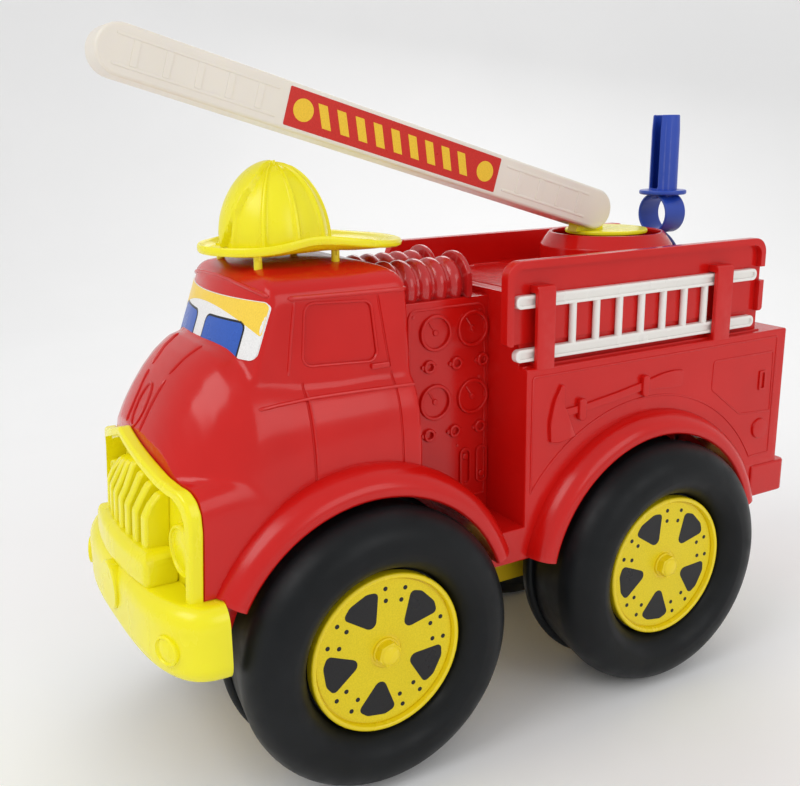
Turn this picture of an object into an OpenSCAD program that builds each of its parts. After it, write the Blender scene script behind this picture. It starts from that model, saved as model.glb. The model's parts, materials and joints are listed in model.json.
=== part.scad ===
// Toy fire engine: cab with a lift-off helmet, rear body with side ladders,
// turntable with a tilting boom, and four free-running wheels on two axles.
// Millimetres, +Z up, the front faces -Y. The origin is on the ground, at the
// middle of the length and of the width.

/* [Overall] */
// Length over both bumpers
overall_l = 606; // [602:1:612]
// Distance between the two axles
wheelbase = 270; // [268:1:272]
// From the rear bumper's back face to the rear axle
rear_overhang = 176; // [174:1:178]

/* [Wheels] */
// Outside radius of a tyre, also the height of the axles
tyre_r = 105; // [103:1:106]
// Distance from the middle plane to a tyre's outer face
tyre_out = 139; // [137:1:144]
// Width of a tyre
tyre_w = 84; // [80:1:86]
// Radius of the yellow wheel disc
hub_r = 60; // [57:1:61]
// Radius of the steel axle rod
axle_r = 4; // [3.5:0.5:5]
// Running clearance between a wheel and its axle, on the radius
axle_gap = 0.06; // [0.02:0.01:0.1]

/* [Rear body] */
// Half of the width over the side panels
side_x = 98; // [97:1:100]
// Height of the ledge above the side panels
ledge_z = 285; // [283:1:287]
// Height of the flat deck
deck_z = 341; // [340:1:342]
// Height of the side boards' top edge
board_z = 367; // [363:1:372]
// Half of the width of the pump section
pump_x = 46; // [44:1:48]

/* [Cab] */
// Half of the width over the doors
door_x = 93; // [90:1:95]
// Height of the roof's crown
roof_z = 373; // [370:1:375]

/* [Boom] */
// Length from the tilt pivot to the tip
boom_l = 436; // [400:1:440]
// Depth of the boom, seen from the side
boom_d = 34; // [32:0.2:36]
// Thickness of the boom, from side to side
boom_w = 28; // [26:1:32]
// Angle of the boom above level at rest
boom_rest = 16.8; // [16:0.2:19]

/* [Hidden] */
$fn = 48;
e = 0.01;
wall = 3;

rear_y = overall_l / 2;
nose_y = -overall_l / 2;
rear_axle_y = rear_y - rear_overhang;
front_axle_y = rear_axle_y - wheelbase;
axle_z = tyre_r;
wheel_stations = [front_axle_y, rear_axle_y];

// wheel stations along X, outwards from the middle plane
tyre_in = tyre_out - tyre_w;
hub_floor = tyre_out - 21;
hub_face = hub_floor + 6;
hub_lip = hub_floor + 10;
label_t = 0.3;
hub_sleeve_r = 9;
axle_half = hub_face + 4;
push_nut_t = 1.2;
play = 0.4;

// chassis and the screws that hold the shells on it
chassis_x = 43;
chassis_z0 = 84;
chassis_z1 = 132;
post_x = 30;
post_r = 6;
post_z = 155;
cab_posts = [-236, -106];
body_posts = [16, 238];
screw_r = 2;
screw_head_r = 3.6;

// fenders: the arch is a ring round the axle
arch_r = 111;
arch_crease_r = 128;
arch_out = 116;
arch_bottom = 134;

// rear body
wall_y = -1;
body_end = 291;
board_y0 = -16;
board_end = 263;
cab_end = -91;
pump_top = 336;
step_top = 158;
step_y0 = -34;
step_y1 = 14;
board_x = 92;
recess_x = 86;
board_in = 83;
board_rim = 6;
bumper_y0 = 257;
bumper_top = 160;

// side ladder
ladder_y0 = -8;
ladder_y1 = 252;
rail_tops = [341, 300];
rail_h = 10;
ladder_in = recess_x + 0.4;
ladder_out = ladder_in + 6.4;
strap_in = ladder_out + 0.4;
strap_out = 98;
straps = [[8, 25], [198, 217]];
strap_top = 348;
rung_ys = [for (i = [0:8]) 24.5 + 23.9 * i];
rung_r = 2.6;

// turntable ring, moulded on the deck
table_y = 160;
ring_r = 58;
ring_top = 372;
ring_lip_r = 47.5;
boss_top = 363;
spindle_r = 8;
spindle_gap = 0.06;
disc_r = 36;
disc_z = 371;
disc_top = 374.5;

// boom
pivot_y = 136;
pivot_z = 393;
pin_r = 3;
pin_gap = 0.06;
lug_half = 6;
boom_wall = 2.5;
label_from = 111;

// grille and front bumper
grille_y = -288.4;
rim_depth = 8;
tray_depth = 19;
tray_inset = 4;
bumper_z0 = 113;
bumper_z1 = 166;
bumper_front = -300.5;
bumper_back = -268;
bumper_end = -254;

// helmet
helmet_y = -159;
brim_z = 379;
brim_t = 4.5;
dome_r = 40;
helmet_h = 441;
shell_t = 2.5;
peg_r = 3;
peg_low = 364;
peg_gap = 0.1;
pegs = [for (x = [-36, 36], y = [-30, 30]) [x, helmet_y + y]];

// nozzle, its arm and its foot
nozzle_y = 227;
loop_z = 384;
loop_r = 18;
flange_z = 405;
barrel_top = 471;
nozzle_arm_r = 2.6;
nozzle_foot_y = 250;

// ---------- helpers ----------

// the children and their mirror image on the other side of the truck
module both_sides() {
    children();
    mirror([1, 0, 0]) children();
}

// a flat outline drawn as (Y, Z), filled from x0 to x1
module across(x0, x1) {
    translate([x0, 0, 0]) rotate([90, 0, 90]) linear_extrude(x1 - x0) children();
}

// a flat outline drawn as (X, Z), filled from y0 to y1
module along(y0, y1) {
    translate([0, y1, 0]) rotate([90, 0, 0]) linear_extrude(y1 - y0) children();
}

// a rectangle with round corners, from one corner to the other
module round_rect(lo, hi, r) {
    translate([lo.x + r, lo.y]) square([hi.x - lo.x - 2 * r, hi.y - lo.y]);
    translate([lo.x, lo.y + r]) square([hi.x - lo.x, hi.y - lo.y - 2 * r]);
    for (x = [lo.x + r, hi.x - r], y = [lo.y + r, hi.y - r])
        translate([x, y]) circle(r);
}

// a rectangle whose two upper corners are round
module arch_rect(lo, hi, r) {
    translate(lo) square([hi.x - lo.x, hi.y - lo.y - r]);
    translate([lo.x + r, hi.y - 2 * r]) square([hi.x - lo.x - 2 * r, 2 * r]);
    for (x = [lo.x + r, hi.x - r])
        translate([x, hi.y - r]) circle(r);
}

// a box from one corner to the other
module block(lo, hi) {
    translate(lo) cube(hi - lo);
}

// a round rod along X
module rod_x(x0, x1, r) {
    translate([x0, 0, 0]) rotate([0, 90, 0]) cylinder(h = x1 - x0, r = r);
}

// a solid through closed rings of points, each ring with the same count
module loft(rings) {
    n = len(rings[0]);
    m = len(rings);
    sides = [for (i = [0:m - 2], j = [0:n - 1]) let (k = (j + 1) % n) each [
        [i * n + j, (i + 1) * n + j, (i + 1) * n + k],
        [i * n + j, (i + 1) * n + k, i * n + k]]];
    near = [[for (j = [0:n - 1]) j]];
    far = [[for (j = [n - 1:-1:0]) (m - 1) * n + j]];
    polyhedron([for (ring = rings) each ring], concat(near, sides, far));
}

// points of a superellipse from angle a0 to angle a1, half-widths w and h
function bow(w, h, power, a0, a1, steps) = [for (i = [0:steps])
    let (a = a0 + (a1 - a0) * i / steps, c = cos(a), s = sin(a))
    [w * sign(c) * pow(abs(c), 2 / power), h * sign(s) * pow(abs(s), 2 / power)]];

// ---------- wheels ----------

// puts a wheel part, drawn for the left side with the axle at the origin
module at_wheel(left, front) {
    translate([0, wheel_stations[front ? 0 : 1], axle_z])
        mirror([left ? 0 : 1, 0, 0]) children();
}

// section of the hollow tyre, as (radius, X)
module tyre_section() {
    shoulder = 27;
    inner_shoulder = 20;
    crown = 21;
    core_r = tyre_r - inner_shoulder;
    seat_r = hub_r + 12;
    difference() {
        union() {
            translate([hub_sleeve_r + 0.02, tyre_in])
                square([core_r - hub_sleeve_r, hub_floor - tyre_in]);
            translate([core_r, tyre_in + inner_shoulder]) circle(inner_shoulder);
            translate([hub_r + 2, tyre_in + inner_shoulder])
                square([tyre_r - hub_r - 2, tyre_w - inner_shoulder - shoulder]);
            intersection() {
                translate([tyre_r - shoulder, tyre_out - shoulder]) circle(shoulder);
                translate([hub_r + 2, tyre_in]) square(tyre_w);
            }
            translate([hub_r + crown + 2, tyre_out - crown]) circle(crown);
        }
        translate([hub_sleeve_r + wall, tyre_in + wall])
            square([core_r - hub_sleeve_r - wall, hub_floor - tyre_in - 2 * wall]);
        translate([core_r, tyre_in + inner_shoulder]) circle(inner_shoulder - wall);
        translate([core_r, tyre_in + inner_shoulder])
            square([inner_shoulder - wall, tyre_w - inner_shoulder - shoulder]);
        translate([seat_r, hub_floor - shoulder])
            square([tyre_r - shoulder - seat_r, shoulder]);
        translate([tyre_r - shoulder, tyre_out - shoulder]) circle(shoulder - wall);
    }
}

module tyre(left, front) {
    color("#26282b") at_wheel(left, front)
        rotate([0, 90, 0]) rotate_extrude($fn = 96) tyre_section();
}

// yellow wheel disc with a raised lip, and the sleeve that runs on the axle
module hub(left, front) {
    lip = 4;
    bore = axle_r + axle_gap;
    color("#e8d21e") at_wheel(left, front) rotate([0, 90, 0])
        rotate_extrude($fn = 96) difference() {
            union() {
                translate([bore, hub_floor]) square([hub_r - bore, hub_lip - hub_floor]);
                translate([bore, tyre_in]) square([hub_sleeve_r - bore, hub_floor - tyre_in + e]);
            }
            translate([0, hub_face]) square([hub_r - lip, hub_lip]);
            translate([hub_sleeve_r + wall, hub_floor - 1])
                square([hub_r - hub_sleeve_r - 2 * wall, hub_face - hub_floor - wall + 1]);
        }
}

// printed disc on the face of the hub, cut clear of the nut
module hub_label(left, front) {
    inner = 12;
    color("#f0dc28") at_wheel(left, front) translate([hub_face, 0, 0]) difference() {
        rod_x(0, label_t, hub_r - 5.5);
        rod_x(-1, 1, inner);
    }
}

// hexagon cap with a domed middle that hides the end of the axle
module hub_nut(left, front) {
    flat = 7;
    dome = 3;
    color("#f5e61e") at_wheel(left, front) translate([hub_face, 0, 0])
        rotate([0, 90, 0]) difference() {
            union() {
                cylinder(h = flat, r = 10.5, $fn = 6);
                translate([0, 0, flat - e]) cylinder(h = dome, r1 = 8, r2 = 5);
            }
            translate([0, 0, -e]) cylinder(h = flat - 1.5, r = 7.2);
        }
}

// steel rod right across, one for each pair of wheels
module axle(front) {
    color("#b8bcc0") translate([0, wheel_stations[front ? 0 : 1], axle_z])
        rod_x(-axle_half, axle_half, axle_r);
}

// pressed steel caps that keep the wheels on the rods
module axle_push_nuts() {
    near = hub_face + play;
    color("#9a9ea2") for (y = wheel_stations) translate([0, y, axle_z])
        both_sides() difference() {
            rod_x(near, near + push_nut_t, 6.6);
            rod_x(hub_face, axle_half + 1, axle_r);
        }
}

// ---------- chassis ----------

module chassis() {
    boss_r = 13;
    front = -262;
    back = 272;
    bays = [[front + wall, -160], [-126, 30], [40, 110], [144, back - wall]];
    color("#e8c81e") difference() {
        union() {
            difference() {
                block([-chassis_x, front, chassis_z0], [chassis_x, back, chassis_z1]);
                for (bay = bays)
                    block([-chassis_x + wall, bay[0], chassis_z0 + wall],
                        [chassis_x - wall, bay[1], chassis_z1 + 1]);
            }
            for (y = wheel_stations)
                translate([0, y, axle_z]) rod_x(-tyre_in + 1.5, tyre_in - 1.5, boss_r);
            for (x = [-post_x, post_x], y = concat(cab_posts, body_posts))
                translate([x, y, chassis_z0]) cylinder(h = post_z - chassis_z0, r = post_r);
        }
        for (y = wheel_stations)
            translate([0, y, axle_z]) rod_x(-60, 60, axle_r);
        for (x = [-post_x, post_x], y = concat(cab_posts, body_posts)) translate([x, y, 0]) {
            cylinder(h = post_z - 2, r = screw_head_r + 0.4);
            cylinder(h = post_z + 1, r = screw_r + 0.2);
        }
    }
}

// screws that come up through the chassis posts into the shells' bosses
module body_screws() {
    head_h = 2.4;
    thread = 14;
    color("#8c9094") for (x = [-post_x, post_x], y = concat(cab_posts, body_posts))
        translate([x, y, post_z - 2 - head_h]) {
            cylinder(h = head_h, r = screw_head_r);
            cylinder(h = head_h + thread, r = screw_r);
        }
}

// hollow post inside a shell, from the chassis post up to z1
module screw_boss(x, y, z1) {
    translate([x, y, post_z]) cylinder(h = z1 - post_z, r = post_r - 0.5);
}

// the screw's own hole in such a post
module screw_hole(x, y) {
    translate([x, y, post_z - 1]) cylinder(h = 16, r = screw_r);
}

// ---------- fenders ----------

// section of a flared fender, as (radius, X), from x0 out to the lip
module fender_section(crease_x, crease_r, lip_x) {
    roll = lip_x - crease_x;
    steps = 8;
    sink = 2.3;
    polygon(concat(
        [[arch_r - 2, crease_x - sink], [crease_r, crease_x - sink]],
        [for (i = [0:steps]) let (a = 90 * i / steps)
            [arch_r + 3 + (crease_r - arch_r - 3) * pow(cos(a), 0.8), crease_x + roll * pow(sin(a), 1.2)]],
        [[arch_r - 2, lip_x]]));
}

// a fender ring round the axle at y, between two angles above the rear level
module fender(y, a0, a1, crease_x, crease_r, lip_x) {
    translate([0, y, axle_z]) rotate([0, 90, 0]) rotate([0, 0, 90 + a0])
        rotate_extrude(angle = a1 - a0, $fn = 120)
            fender_section(crease_x, crease_r, lip_x);
}

// ---------- cab ----------

// stations along the hood: y, height at the middle, half-width, squareness
hood_rings = [[cab_end, 300, door_x, 5], [-150, 303, door_x + 1, 4.6], [-178, 307, door_x + 2, 4],
    [-200, 317, door_x + 5, 3], [-216, 323, door_x + 8, 2.4], [-230, 321, door_x + 9, 2.1],
    [-241, 313, door_x + 8, 2], [-251, 302, door_x + 6, 2], [-259, 291, door_x + 2, 2.1],
    [-266, 279, door_x - 5, 2.4], [-272, 269, door_x - 13, 2.6], [-277, 260, door_x - 31, 2.6],
    [-280, 249, door_x - 53, 2.4]];

// one closed ring of the hood, grown or shrunk by inset
function hood_ring(r, inset) = let (base = 165, w = r[2] - inset)
    concat([[w, r[0], base - 60]],
        [for (p = bow(w, r[1] - base - inset, r[3], 0, 180, 32)) [p.x, r[0], base + p.y]],
        [[-w, r[0], base - 60]]);

// the hood and the lower cab as one closed form
module hood_form(inset) {
    ahead = [for (i = [0:len(hood_rings) - 1]) let (r = hood_rings[i])
        [i == 0 ? r[0] - inset : r[0] + (i > 8 ? inset : 0), r[1], r[2], r[3]]];
    loft([for (r = ahead) hood_ring(r, inset)]);
}

// stations along the swelling over a front wheel: y, half-width, height
pontoon_rings = [[-276, 45, 78], [-264, 45, 78], [-250, 45.2, 81], [-236, 45, 82.5], [-220, 44.5, 81],
    [-204, 43, 76], [-188, 40.5, 68], [-170, 36, 56]];

// the swelling over the left front wheel as a closed form
module pontoon(inset) {
    middle = 56;
    base = 163;
    squareness = 6;
    loft([for (i = [len(pontoon_rings) - 1:-1:0])
        let (r = pontoon_rings[i], w = r[1] - inset, h = r[2] - inset) concat([[middle + w, r[0], base - 45]],
            [for (p = bow(w, h, squareness, 0, 180, 24)) [middle + p.x, r[0], base + p.y]],
            [[middle - w, r[0], base - 45]])]);
}

// the leaning, bowed front of the cab above the hood
module screen_form(grow, z0, z1) {
    bow_r = 174;
    lean = 20;
    translate([0, -226, 315]) rotate([-lean, 0, 0])
        translate([0, bow_r, z0]) cylinder(h = z1 - z0, r = bow_r + grow, $fn = 180);
}

// the roof and the windows as one closed form
module roof_form() {
    side = [[81, 270], [78, 298], [73, 352], [69, 361], [60, 367], [42, 371], [20, roof_z], [0, roof_z + 1]];
    mirrored = [for (i = [len(side) - 2:-1:0]) [-side[i].x, side[i].y]];
    intersection() {
        along(-240, cab_end) polygon(concat(side, mirrored));
        across(-120, 120) polygon([[cab_end, 270], [cab_end, 358], [-96, 368], [-112, 372],
            [-150, roof_z + 1], [-192, 371], [-208, 366], [-214, 358], [-229, 315], [-229, 270]]);
        screen_form(0.6, -60, 120);
    }
}

module cab_shell() {
    shrink = 0.965;
    roof_mid = [0, -158, 310];
    color("#cd2823") difference() {
        union() {
            difference() {
                union() {
                    hood_form(0);
                    roof_form();
                    both_sides() pontoon(0);
                }
                hood_form(wall);
                both_sides() pontoon(wall);
                translate(roof_mid) scale(shrink) translate(-roof_mid) roof_form();
                block([-70, -210, 255], [70, cab_end - wall, 320]);
            }
            both_sides() {
                fender(front_axle_y, 21, 152, door_x + 2, arch_crease_r - 4, arch_out - 2);
                mud_guard();
            }
            for (x = [-post_x, post_x]) {
                screw_boss(x, cab_posts[0], 307);
                screw_boss(x, cab_posts[1], 366);
            }
            for (p = pegs) translate([p.x, p.y, 360]) cylinder(h = roof_z - 362, r = 6);
        }
        both_sides() translate([0, front_axle_y, axle_z]) rod_x(chassis_x + 4, 130, arch_r);
        for (x = [-post_x, post_x], y = cab_posts) screw_hole(x, y);
        for (p = pegs) translate([p.x, p.y, 350]) cylinder(h = 30, r = peg_r + peg_gap);
        grille_space();
        block([-104, -300, 100], [104, bumper_back - 0.4, bumper_z1 + 0.4]);
        both_sides() block([99.7, -300, 100], [130, bumper_end + 0.4, bumper_z1 + 0.4]);
        block([-130, -300, 60], [130, 20, arch_bottom]);
    }
}

// the curved sheet over the rear half of the front wheel, behind the cab
module mud_guard() {
    translate([0, front_axle_y, axle_z]) rotate([0, 90, 0]) rotate([0, 0, 90 + 21])
        rotate_extrude(angle = 48, $fn = 120) translate([arch_r - 2, pump_x + 0.5])
            square([wall + 3, door_x - pump_x + 2]);
}

// printed sheet on the windscreen, with round corners, clear of the hood's crest
module windscreen_decal() {
    crest_r = 100;
    crest_top = 325;
    color("#f4f4f0") intersection() {
        difference() {
            screen_form(0.9, -10, 60);
            screen_form(0.61, -12, 62);
            along(-270, -180) translate([0, crest_top - crest_r]) circle(crest_r, $fn = 120);
        }
        along(-260, -180) round_rect([-73, 313], [73, 354], 6);
    }
}

// ---------- grille and front bumper ----------

// how far the bowed face lies behind its middle, at x
function sweep(x) = 0.0017 * x * x;

// outline of the grille, as (X, Z), inside its edge by inset
module grille_outline(inset) {
    half = [[101, 160], [101, 214], [99.5, 226], [95, 234.5], [88, 239.5], [79, 240.5], [65, 243.5],
        [50, 248.5], [30, 254.5], [10, 260.5], [0, 263.5]];
    near = [for (p = half) [p.x * (101 - inset) / 101, p.y > 170 ? p.y - inset : p.y]];
    polygon(concat(near, [for (i = [len(near) - 2:-1:0]) [-near[i].x, near[i].y]]));
}

// a bowed layer between two depths behind the face of the grille
module swept_band(d0, d1, z0, z1) {
    xs = [for (i = [-10:10]) 10.4 * i];
    translate([0, 0, z0]) linear_extrude(z1 - z0) polygon(concat(
        [for (x = xs) [x, grille_y + d0 + sweep(x)]],
        [for (i = [20:-1:0]) [xs[i], grille_y + d1 + sweep(xs[i])]]));
}

// part of a bowed layer inside the outline of the grille
module grille_layer(inset, d0, d1) {
    intersection() {
        along(-330, -220) grille_outline(inset);
        swept_band(d0, d1, 150, 280);
    }
}

// what the cab leaves free for the grille and its deep tray
module grille_space() {
    intersection() {
        along(-330, -220) grille_outline(tray_inset - 0.3);
        swept_band(0, tray_depth + 0.3, 150, 280);
    }
    swept_band(-30, rim_depth + 0.3, 100, 270);
}

module grille_bumper() {
    floor_d = tray_depth - 2.5;
    slat_pitch = 15;
    light = [78.5, 195];
    light_r = 18.2;
    color("#f0e61e") {
        difference() {
            union() {
                grille_layer(0, 0, rim_depth);
                grille_layer(tray_inset, rim_depth - 1, tray_depth);
            }
            intersection() {
                along(-330, -220) grille_outline(tray_inset + 3);
                swept_band(-5, floor_d, 162, 280);
            }
        }
        for (i = [-3:3]) let (x = i * slat_pitch, y = grille_y + sweep(x))
            translate([x - 4, 0, 0]) across(0, 8) polygon([[y + floor_d + 1, 172], [y - 1.5, 172],
                [y - 1.5, 212], [y + 2, 219], [y + 9, 223], [y + floor_d + 1, 224 + (45 - abs(x)) / 5]]);
        both_sides() translate([light.x, grille_y + floor_d + 1 + sweep(light.x), light.y])
            rotate([90, 0, 0]) difference() {
                cylinder(h = 8, r = light_r);
                translate([0, 0, 6.5]) cylinder(h = 9, r = light_r - 2.5);
            }
        intersection() {
            along(-310, -250) round_rect([-62, 164], [62, 189], 6);
            swept_band(-8, tray_depth - 1, 150, 280);
        }
        front_bumper();
        plaque_and_lamps();
    }
}

// levels of the bumper, as (Z, how far its edge lies inside the fullest one)
bumper_levels = [[113, 9], [116, 5], [121, 2], [128, 0], [148, 0], [156, 1.5], [161, 4], [166, 10]];

// the deep bowed bumper, rounded above and below, hollow behind
module front_bumper() {
    half_w = 118;
    loft_power = 3.1;
    reach = bumper_end - bumper_front;
    difference() {
        loft([for (level = bumper_levels)
            [for (p = bow(half_w - level[1], reach - level[1], loft_power, 0, 180, 32))
                [-p.x, bumper_end - p.y, level[0]]]]);
        block([-100, bumper_back, bumper_z0 - 1], [100, bumper_end + 1, bumper_z1 + 1]);
        block([-86, bumper_front + 14, bumper_z0 - 1], [86, bumper_back + 1, bumper_z1 - wall]);
    }
}

// plain round plaque in the middle of the bumper and a lamp near each end
module plaque_and_lamps() {
    lamp_turn = 22;
    translate([0, nose_y, 147]) rotate([-90, 0, 0]) cylinder(h = 8, r = 18);
    both_sides() translate([95.5, bumper_front + 6.5, 136]) rotate([0, 0, lamp_turn]) rotate([-90, 0, 0])
        cylinder(h = 10, r = 10.5);
}

// ---------- rear body ----------

module body_outside() {
    block([-side_x, wall_y, arch_bottom], [side_x, body_end, ledge_z]);
    block([-recess_x, wall_y, ledge_z - 1], [recess_x, board_end, deck_z]);
    block([-pump_x, cab_end, arch_bottom], [pump_x, wall_y + 1, pump_top]);
    block([-side_x, step_y0, arch_bottom], [side_x, step_y1, step_top]);
    translate([0, 0, arch_bottom]) linear_extrude(bumper_top - arch_bottom)
        round_rect([-100, bumper_y0], [100, rear_y], 5);
}

module body_inside() {
    low = arch_bottom - 10;
    block([-side_x + wall, wall_y + wall, low], [side_x - wall, body_end - wall, ledge_z - wall]);
    block([-board_in, wall_y + wall, ledge_z - wall - 1], [board_in, board_end - wall, deck_z - wall]);
    block([-pump_x + wall, cab_end + wall, low], [pump_x - wall, wall_y + wall + 1, pump_top - wall]);
    block([-side_x + wall, step_y0 + wall, low], [side_x - wall, step_y1, step_top - wall]);
    block([-side_x + wall, body_end - 2 * wall, low], [side_x - wall, rear_y - wall, bumper_top - wall]);
}

// one side board, with its recess for the ladder and its notched rear rim
module side_board() {
    across(board_in, recess_x) arch_rect([board_y0, ledge_z + 18], [board_end, board_z], 12);
    across(board_in, recess_x) translate([wall_y, ledge_z - 1]) square([board_end - wall_y, 30]);
    difference() {
        across(board_in, board_x) arch_rect([board_y0, ledge_z + 18], [board_end, board_z], 12);
        across(recess_x - e, board_x + 1)
            arch_rect([board_y0 + board_rim, ledge_z - 2], [board_end - board_rim, board_z - board_rim], 8);
        for (top = rail_tops)
            block([recess_x - e, board_end - 20, top - rail_h - 1], [board_x + 1, board_end + 1, top + 1]);
    }
    for (s = straps) {
        block([strap_in, s[0], ledge_z - 1], [strap_out, s[1], strap_top]);
        block([recess_x - 1, s[0], rail_tops[0] + 0.8], [strap_out, s[1], strap_top]);
        block([recess_x - 1, s[0], ledge_z - 1], [strap_out, s[1], rail_tops[1] - rail_h - 0.8]);
    }
}

// raised dials, caps and levers on one side of the pump section
module pump_relief() {
    gauge_r = 14;
    gauges = [[-51, 311], [-16, 311], [-51, 256], [-16, 256]];
    caps = [[-57, 285], [-31.5, 285], [-7, 285], [-57, 230], [-33, 230], [-9, 230]];
    levers = [-23, -8];
    for (g = gauges) translate([0, g[0], g[1]]) difference() {
        rod_x(pump_x - 1, pump_x + 1.5, gauge_r);
        rod_x(pump_x, pump_x + 3, gauge_r - 1.8);
    }
    for (c = caps) translate([0, c[0], c[1]]) difference() {
        rod_x(pump_x - 1, pump_x + 3, 4.8);
        rod_x(pump_x, pump_x + 4, 3);
    }
    for (y = levers) difference() {
        across(pump_x - 1, pump_x + 1.5) round_rect([y - 5, 180], [y + 5, 212], 4.9);
        across(pump_x, pump_x + 3) round_rect([y - 3.5, 181.5], [y + 3.5, 210.5], 3.4);
    }
}

// the turntable's ring, centre boss and ribs, standing on the deck
module table_ring() {
    rib_t = 2;
    translate([0, table_y, 0]) {
        rotate_extrude($fn = 96) polygon([[ring_r - wall, deck_z - 1], [ring_r, deck_z - 1],
            [ring_r, ring_top - 10], [ring_lip_r + 2.5, ring_top], [ring_lip_r, ring_top],
            [ring_lip_r, ring_top - 3], [ring_r - wall, ring_top - 11]]);
        translate([0, 0, deck_z - 1]) cylinder(h = boss_top - deck_z + 1, r = 15);
        for (i = [0:5]) rotate([0, 0, 30 + 60 * i])
            block([13, -rib_t / 2, deck_z - 1], [ring_r - 1, rib_t / 2, deck_z + 14]);
    }
}

module rear_body() {
    color("#cd2823") difference() {
        union() {
            difference() {
                union() {
                    body_outside();
                    both_sides() side_board();
                }
                body_inside();
            }
            both_sides() {
                fender(rear_axle_y, 15, 167, side_x, arch_crease_r, arch_out);
                pump_relief();
                panel_relief();
            }
            table_ring();
            for (x = [-post_x, post_x], y = body_posts) screw_boss(x, y, deck_z - 1);
            nozzle_socket();
        }
        both_sides() {
            translate([0, rear_axle_y, axle_z]) rod_x(chassis_x + 4, 130, arch_r);
            translate([0, front_axle_y, axle_z]) rod_x(chassis_x + 4, 130, arch_r + wall + 1.3);
            translate([0, front_axle_y, axle_z]) rod_x(door_x - 0.7, 130, arch_crease_r - 3.6);
        }
        for (x = [-post_x, post_x], y = body_posts) screw_hole(x, y);
        translate([0, table_y, deck_z - 10]) cylinder(h = 60, r = spindle_r + spindle_gap);
        translate([0, nozzle_foot_y, deck_z - 10]) cylinder(h = 30, r = 4.05);
    }
}

// axe and locker door in low relief on one side panel
module panel_relief() {
    x0 = side_x - 1;
    x1 = side_x + 2;
    across(x0, x1) polygon([[22, 226], [27, 224], [33, 236], [34, 250], [50, 251], [160, 256],
        [162, 262], [50, 259], [34, 261], [32, 268], [24, 271], [21, 250]]);
    difference() {
        across(x0, side_x + 1) polygon([[200, 266], [276, 266], [277, 210], [237, 213], [199, 241]]);
        across(x0, side_x + 3) polygon([[203, 263], [273, 263], [274, 213], [238, 216], [202, 242]]);
    }
    for (y = [48, 116]) block([x0, y, 243], [side_x + 4, y + 7, 257]);
}

// short socket on the deck that takes the nozzle's foot
module nozzle_socket() {
    translate([0, nozzle_foot_y, deck_z - 1]) cylinder(h = 5, r = 7);
}

// two reels of coiled hose side by side, flat underneath
module hose_reels() {
    coil_r = 14.5;
    cord_r = 6.5;
    first = -82.5;
    pitch = 13.5;
    reel_x = 24;
    reel_z = 345;
    color("#c8241f") intersection() {
        both_sides() translate([reel_x, 0, reel_z]) rotate([-90, 0, 0]) {
            for (i = [0:4]) translate([0, 0, first + pitch * i])
                rotate_extrude($fn = 64) translate([coil_r, 0]) circle(cord_r, $fn = 32);
            translate([0, 0, -89.5]) cylinder(h = 68, r = coil_r + 2);
            translate([0, 0, -22]) cylinder(h = 5, r = 25 - 1.2);
        }
        block([-47, -90.5, pump_top], [47, -16, 380]);
    }
}

// ---------- turntable and boom ----------

module turntable() {
    color("#f0e61e") translate([0, table_y, 0]) difference() {
        union() {
            translate([0, 0, disc_z]) cylinder(h = disc_top - disc_z, r = disc_r, $fn = 96);
            translate([0, 0, boss_top + 0.3]) cylinder(h = disc_z - boss_top, r = 20);
            translate([0, 0, deck_z - wall - play]) cylinder(h = disc_z - deck_z + wall, r = spindle_r);
            translate([0, -table_y, 0]) lug();
        }
        translate([0, 0, deck_z - 10]) cylinder(h = 26, r = 1.5);
        translate([-20, pivot_y - table_y, pivot_z]) rotate([0, 90, 0]) cylinder(h = 40, r = pin_r);
    }
}

// the upright plate that carries the boom's pin
module lug() {
    across(-lug_half, lug_half) union() {
        translate([pivot_y, pivot_z]) circle(9);
        polygon([[pivot_y - 15, disc_top - 1], [pivot_y + 15, disc_top - 1],
            [pivot_y + 8.8, pivot_z + 2], [pivot_y - 8.8, pivot_z + 2]]);
    }
}

module turntable_washer() {
    z = deck_z - wall - play;
    color("#b0b4b8") translate([0, table_y, z - 1.6]) difference() {
        cylinder(h = 1.6, r = 13);
        translate([0, 0, -1]) cylinder(h = 4, r = 1.7);
    }
}

module turntable_screw() {
    z = deck_z - wall - play - 1.6;
    color("#8c9094") translate([0, table_y, z]) {
        translate([0, 0, -2.4]) cylinder(h = 2.4, r = 3.6);
        translate([0, 0, -1]) cylinder(h = 19, r = 1.5);
    }
}

module boom_pivot_pin() {
    color("#b8bcc0") translate([0, pivot_y, pivot_z]) rod_x(-boom_w / 2 + 2, boom_w / 2 - 2, pin_r);
}

// puts a shape drawn along the boom, with the pivot at the origin and +U
// towards the tip, where it lies at rest
module at_boom() {
    translate([0, pivot_y, pivot_z]) rotate([-boom_rest, 0, 0]) mirror([0, 1, 0]) children();
}

// side view of the boom, grown or shrunk by inset
module boom_outline(inset) {
    r = boom_d / 2 - inset;
    circle(r);
    translate([0, -r]) square([boom_l - boom_d / 2, 2 * r]);
    translate([boom_l - boom_d / 2, 0]) circle(r);
}

module aerial_boom() {
    half = boom_w / 2;
    slot = lug_half + 0.4;
    color("#f0ece0") at_boom() difference() {
        union() {
            across(-half + 2, half - 2) boom_outline(0);
            across(-half, half) boom_outline(2);
        }
        across(-half + boom_wall, half - boom_wall) translate([24, -boom_d / 2 + boom_wall])
            square([boom_l - 46, boom_d - 2 * boom_wall]);
        block([-slot, -30, -30], [slot, 14, 12]);
        block([-slot, 13, -30], [slot, 24 + e, 4]);
        rod_x(-half + 1.8, half - 1.8, pin_r + pin_gap);
    }
}

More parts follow.
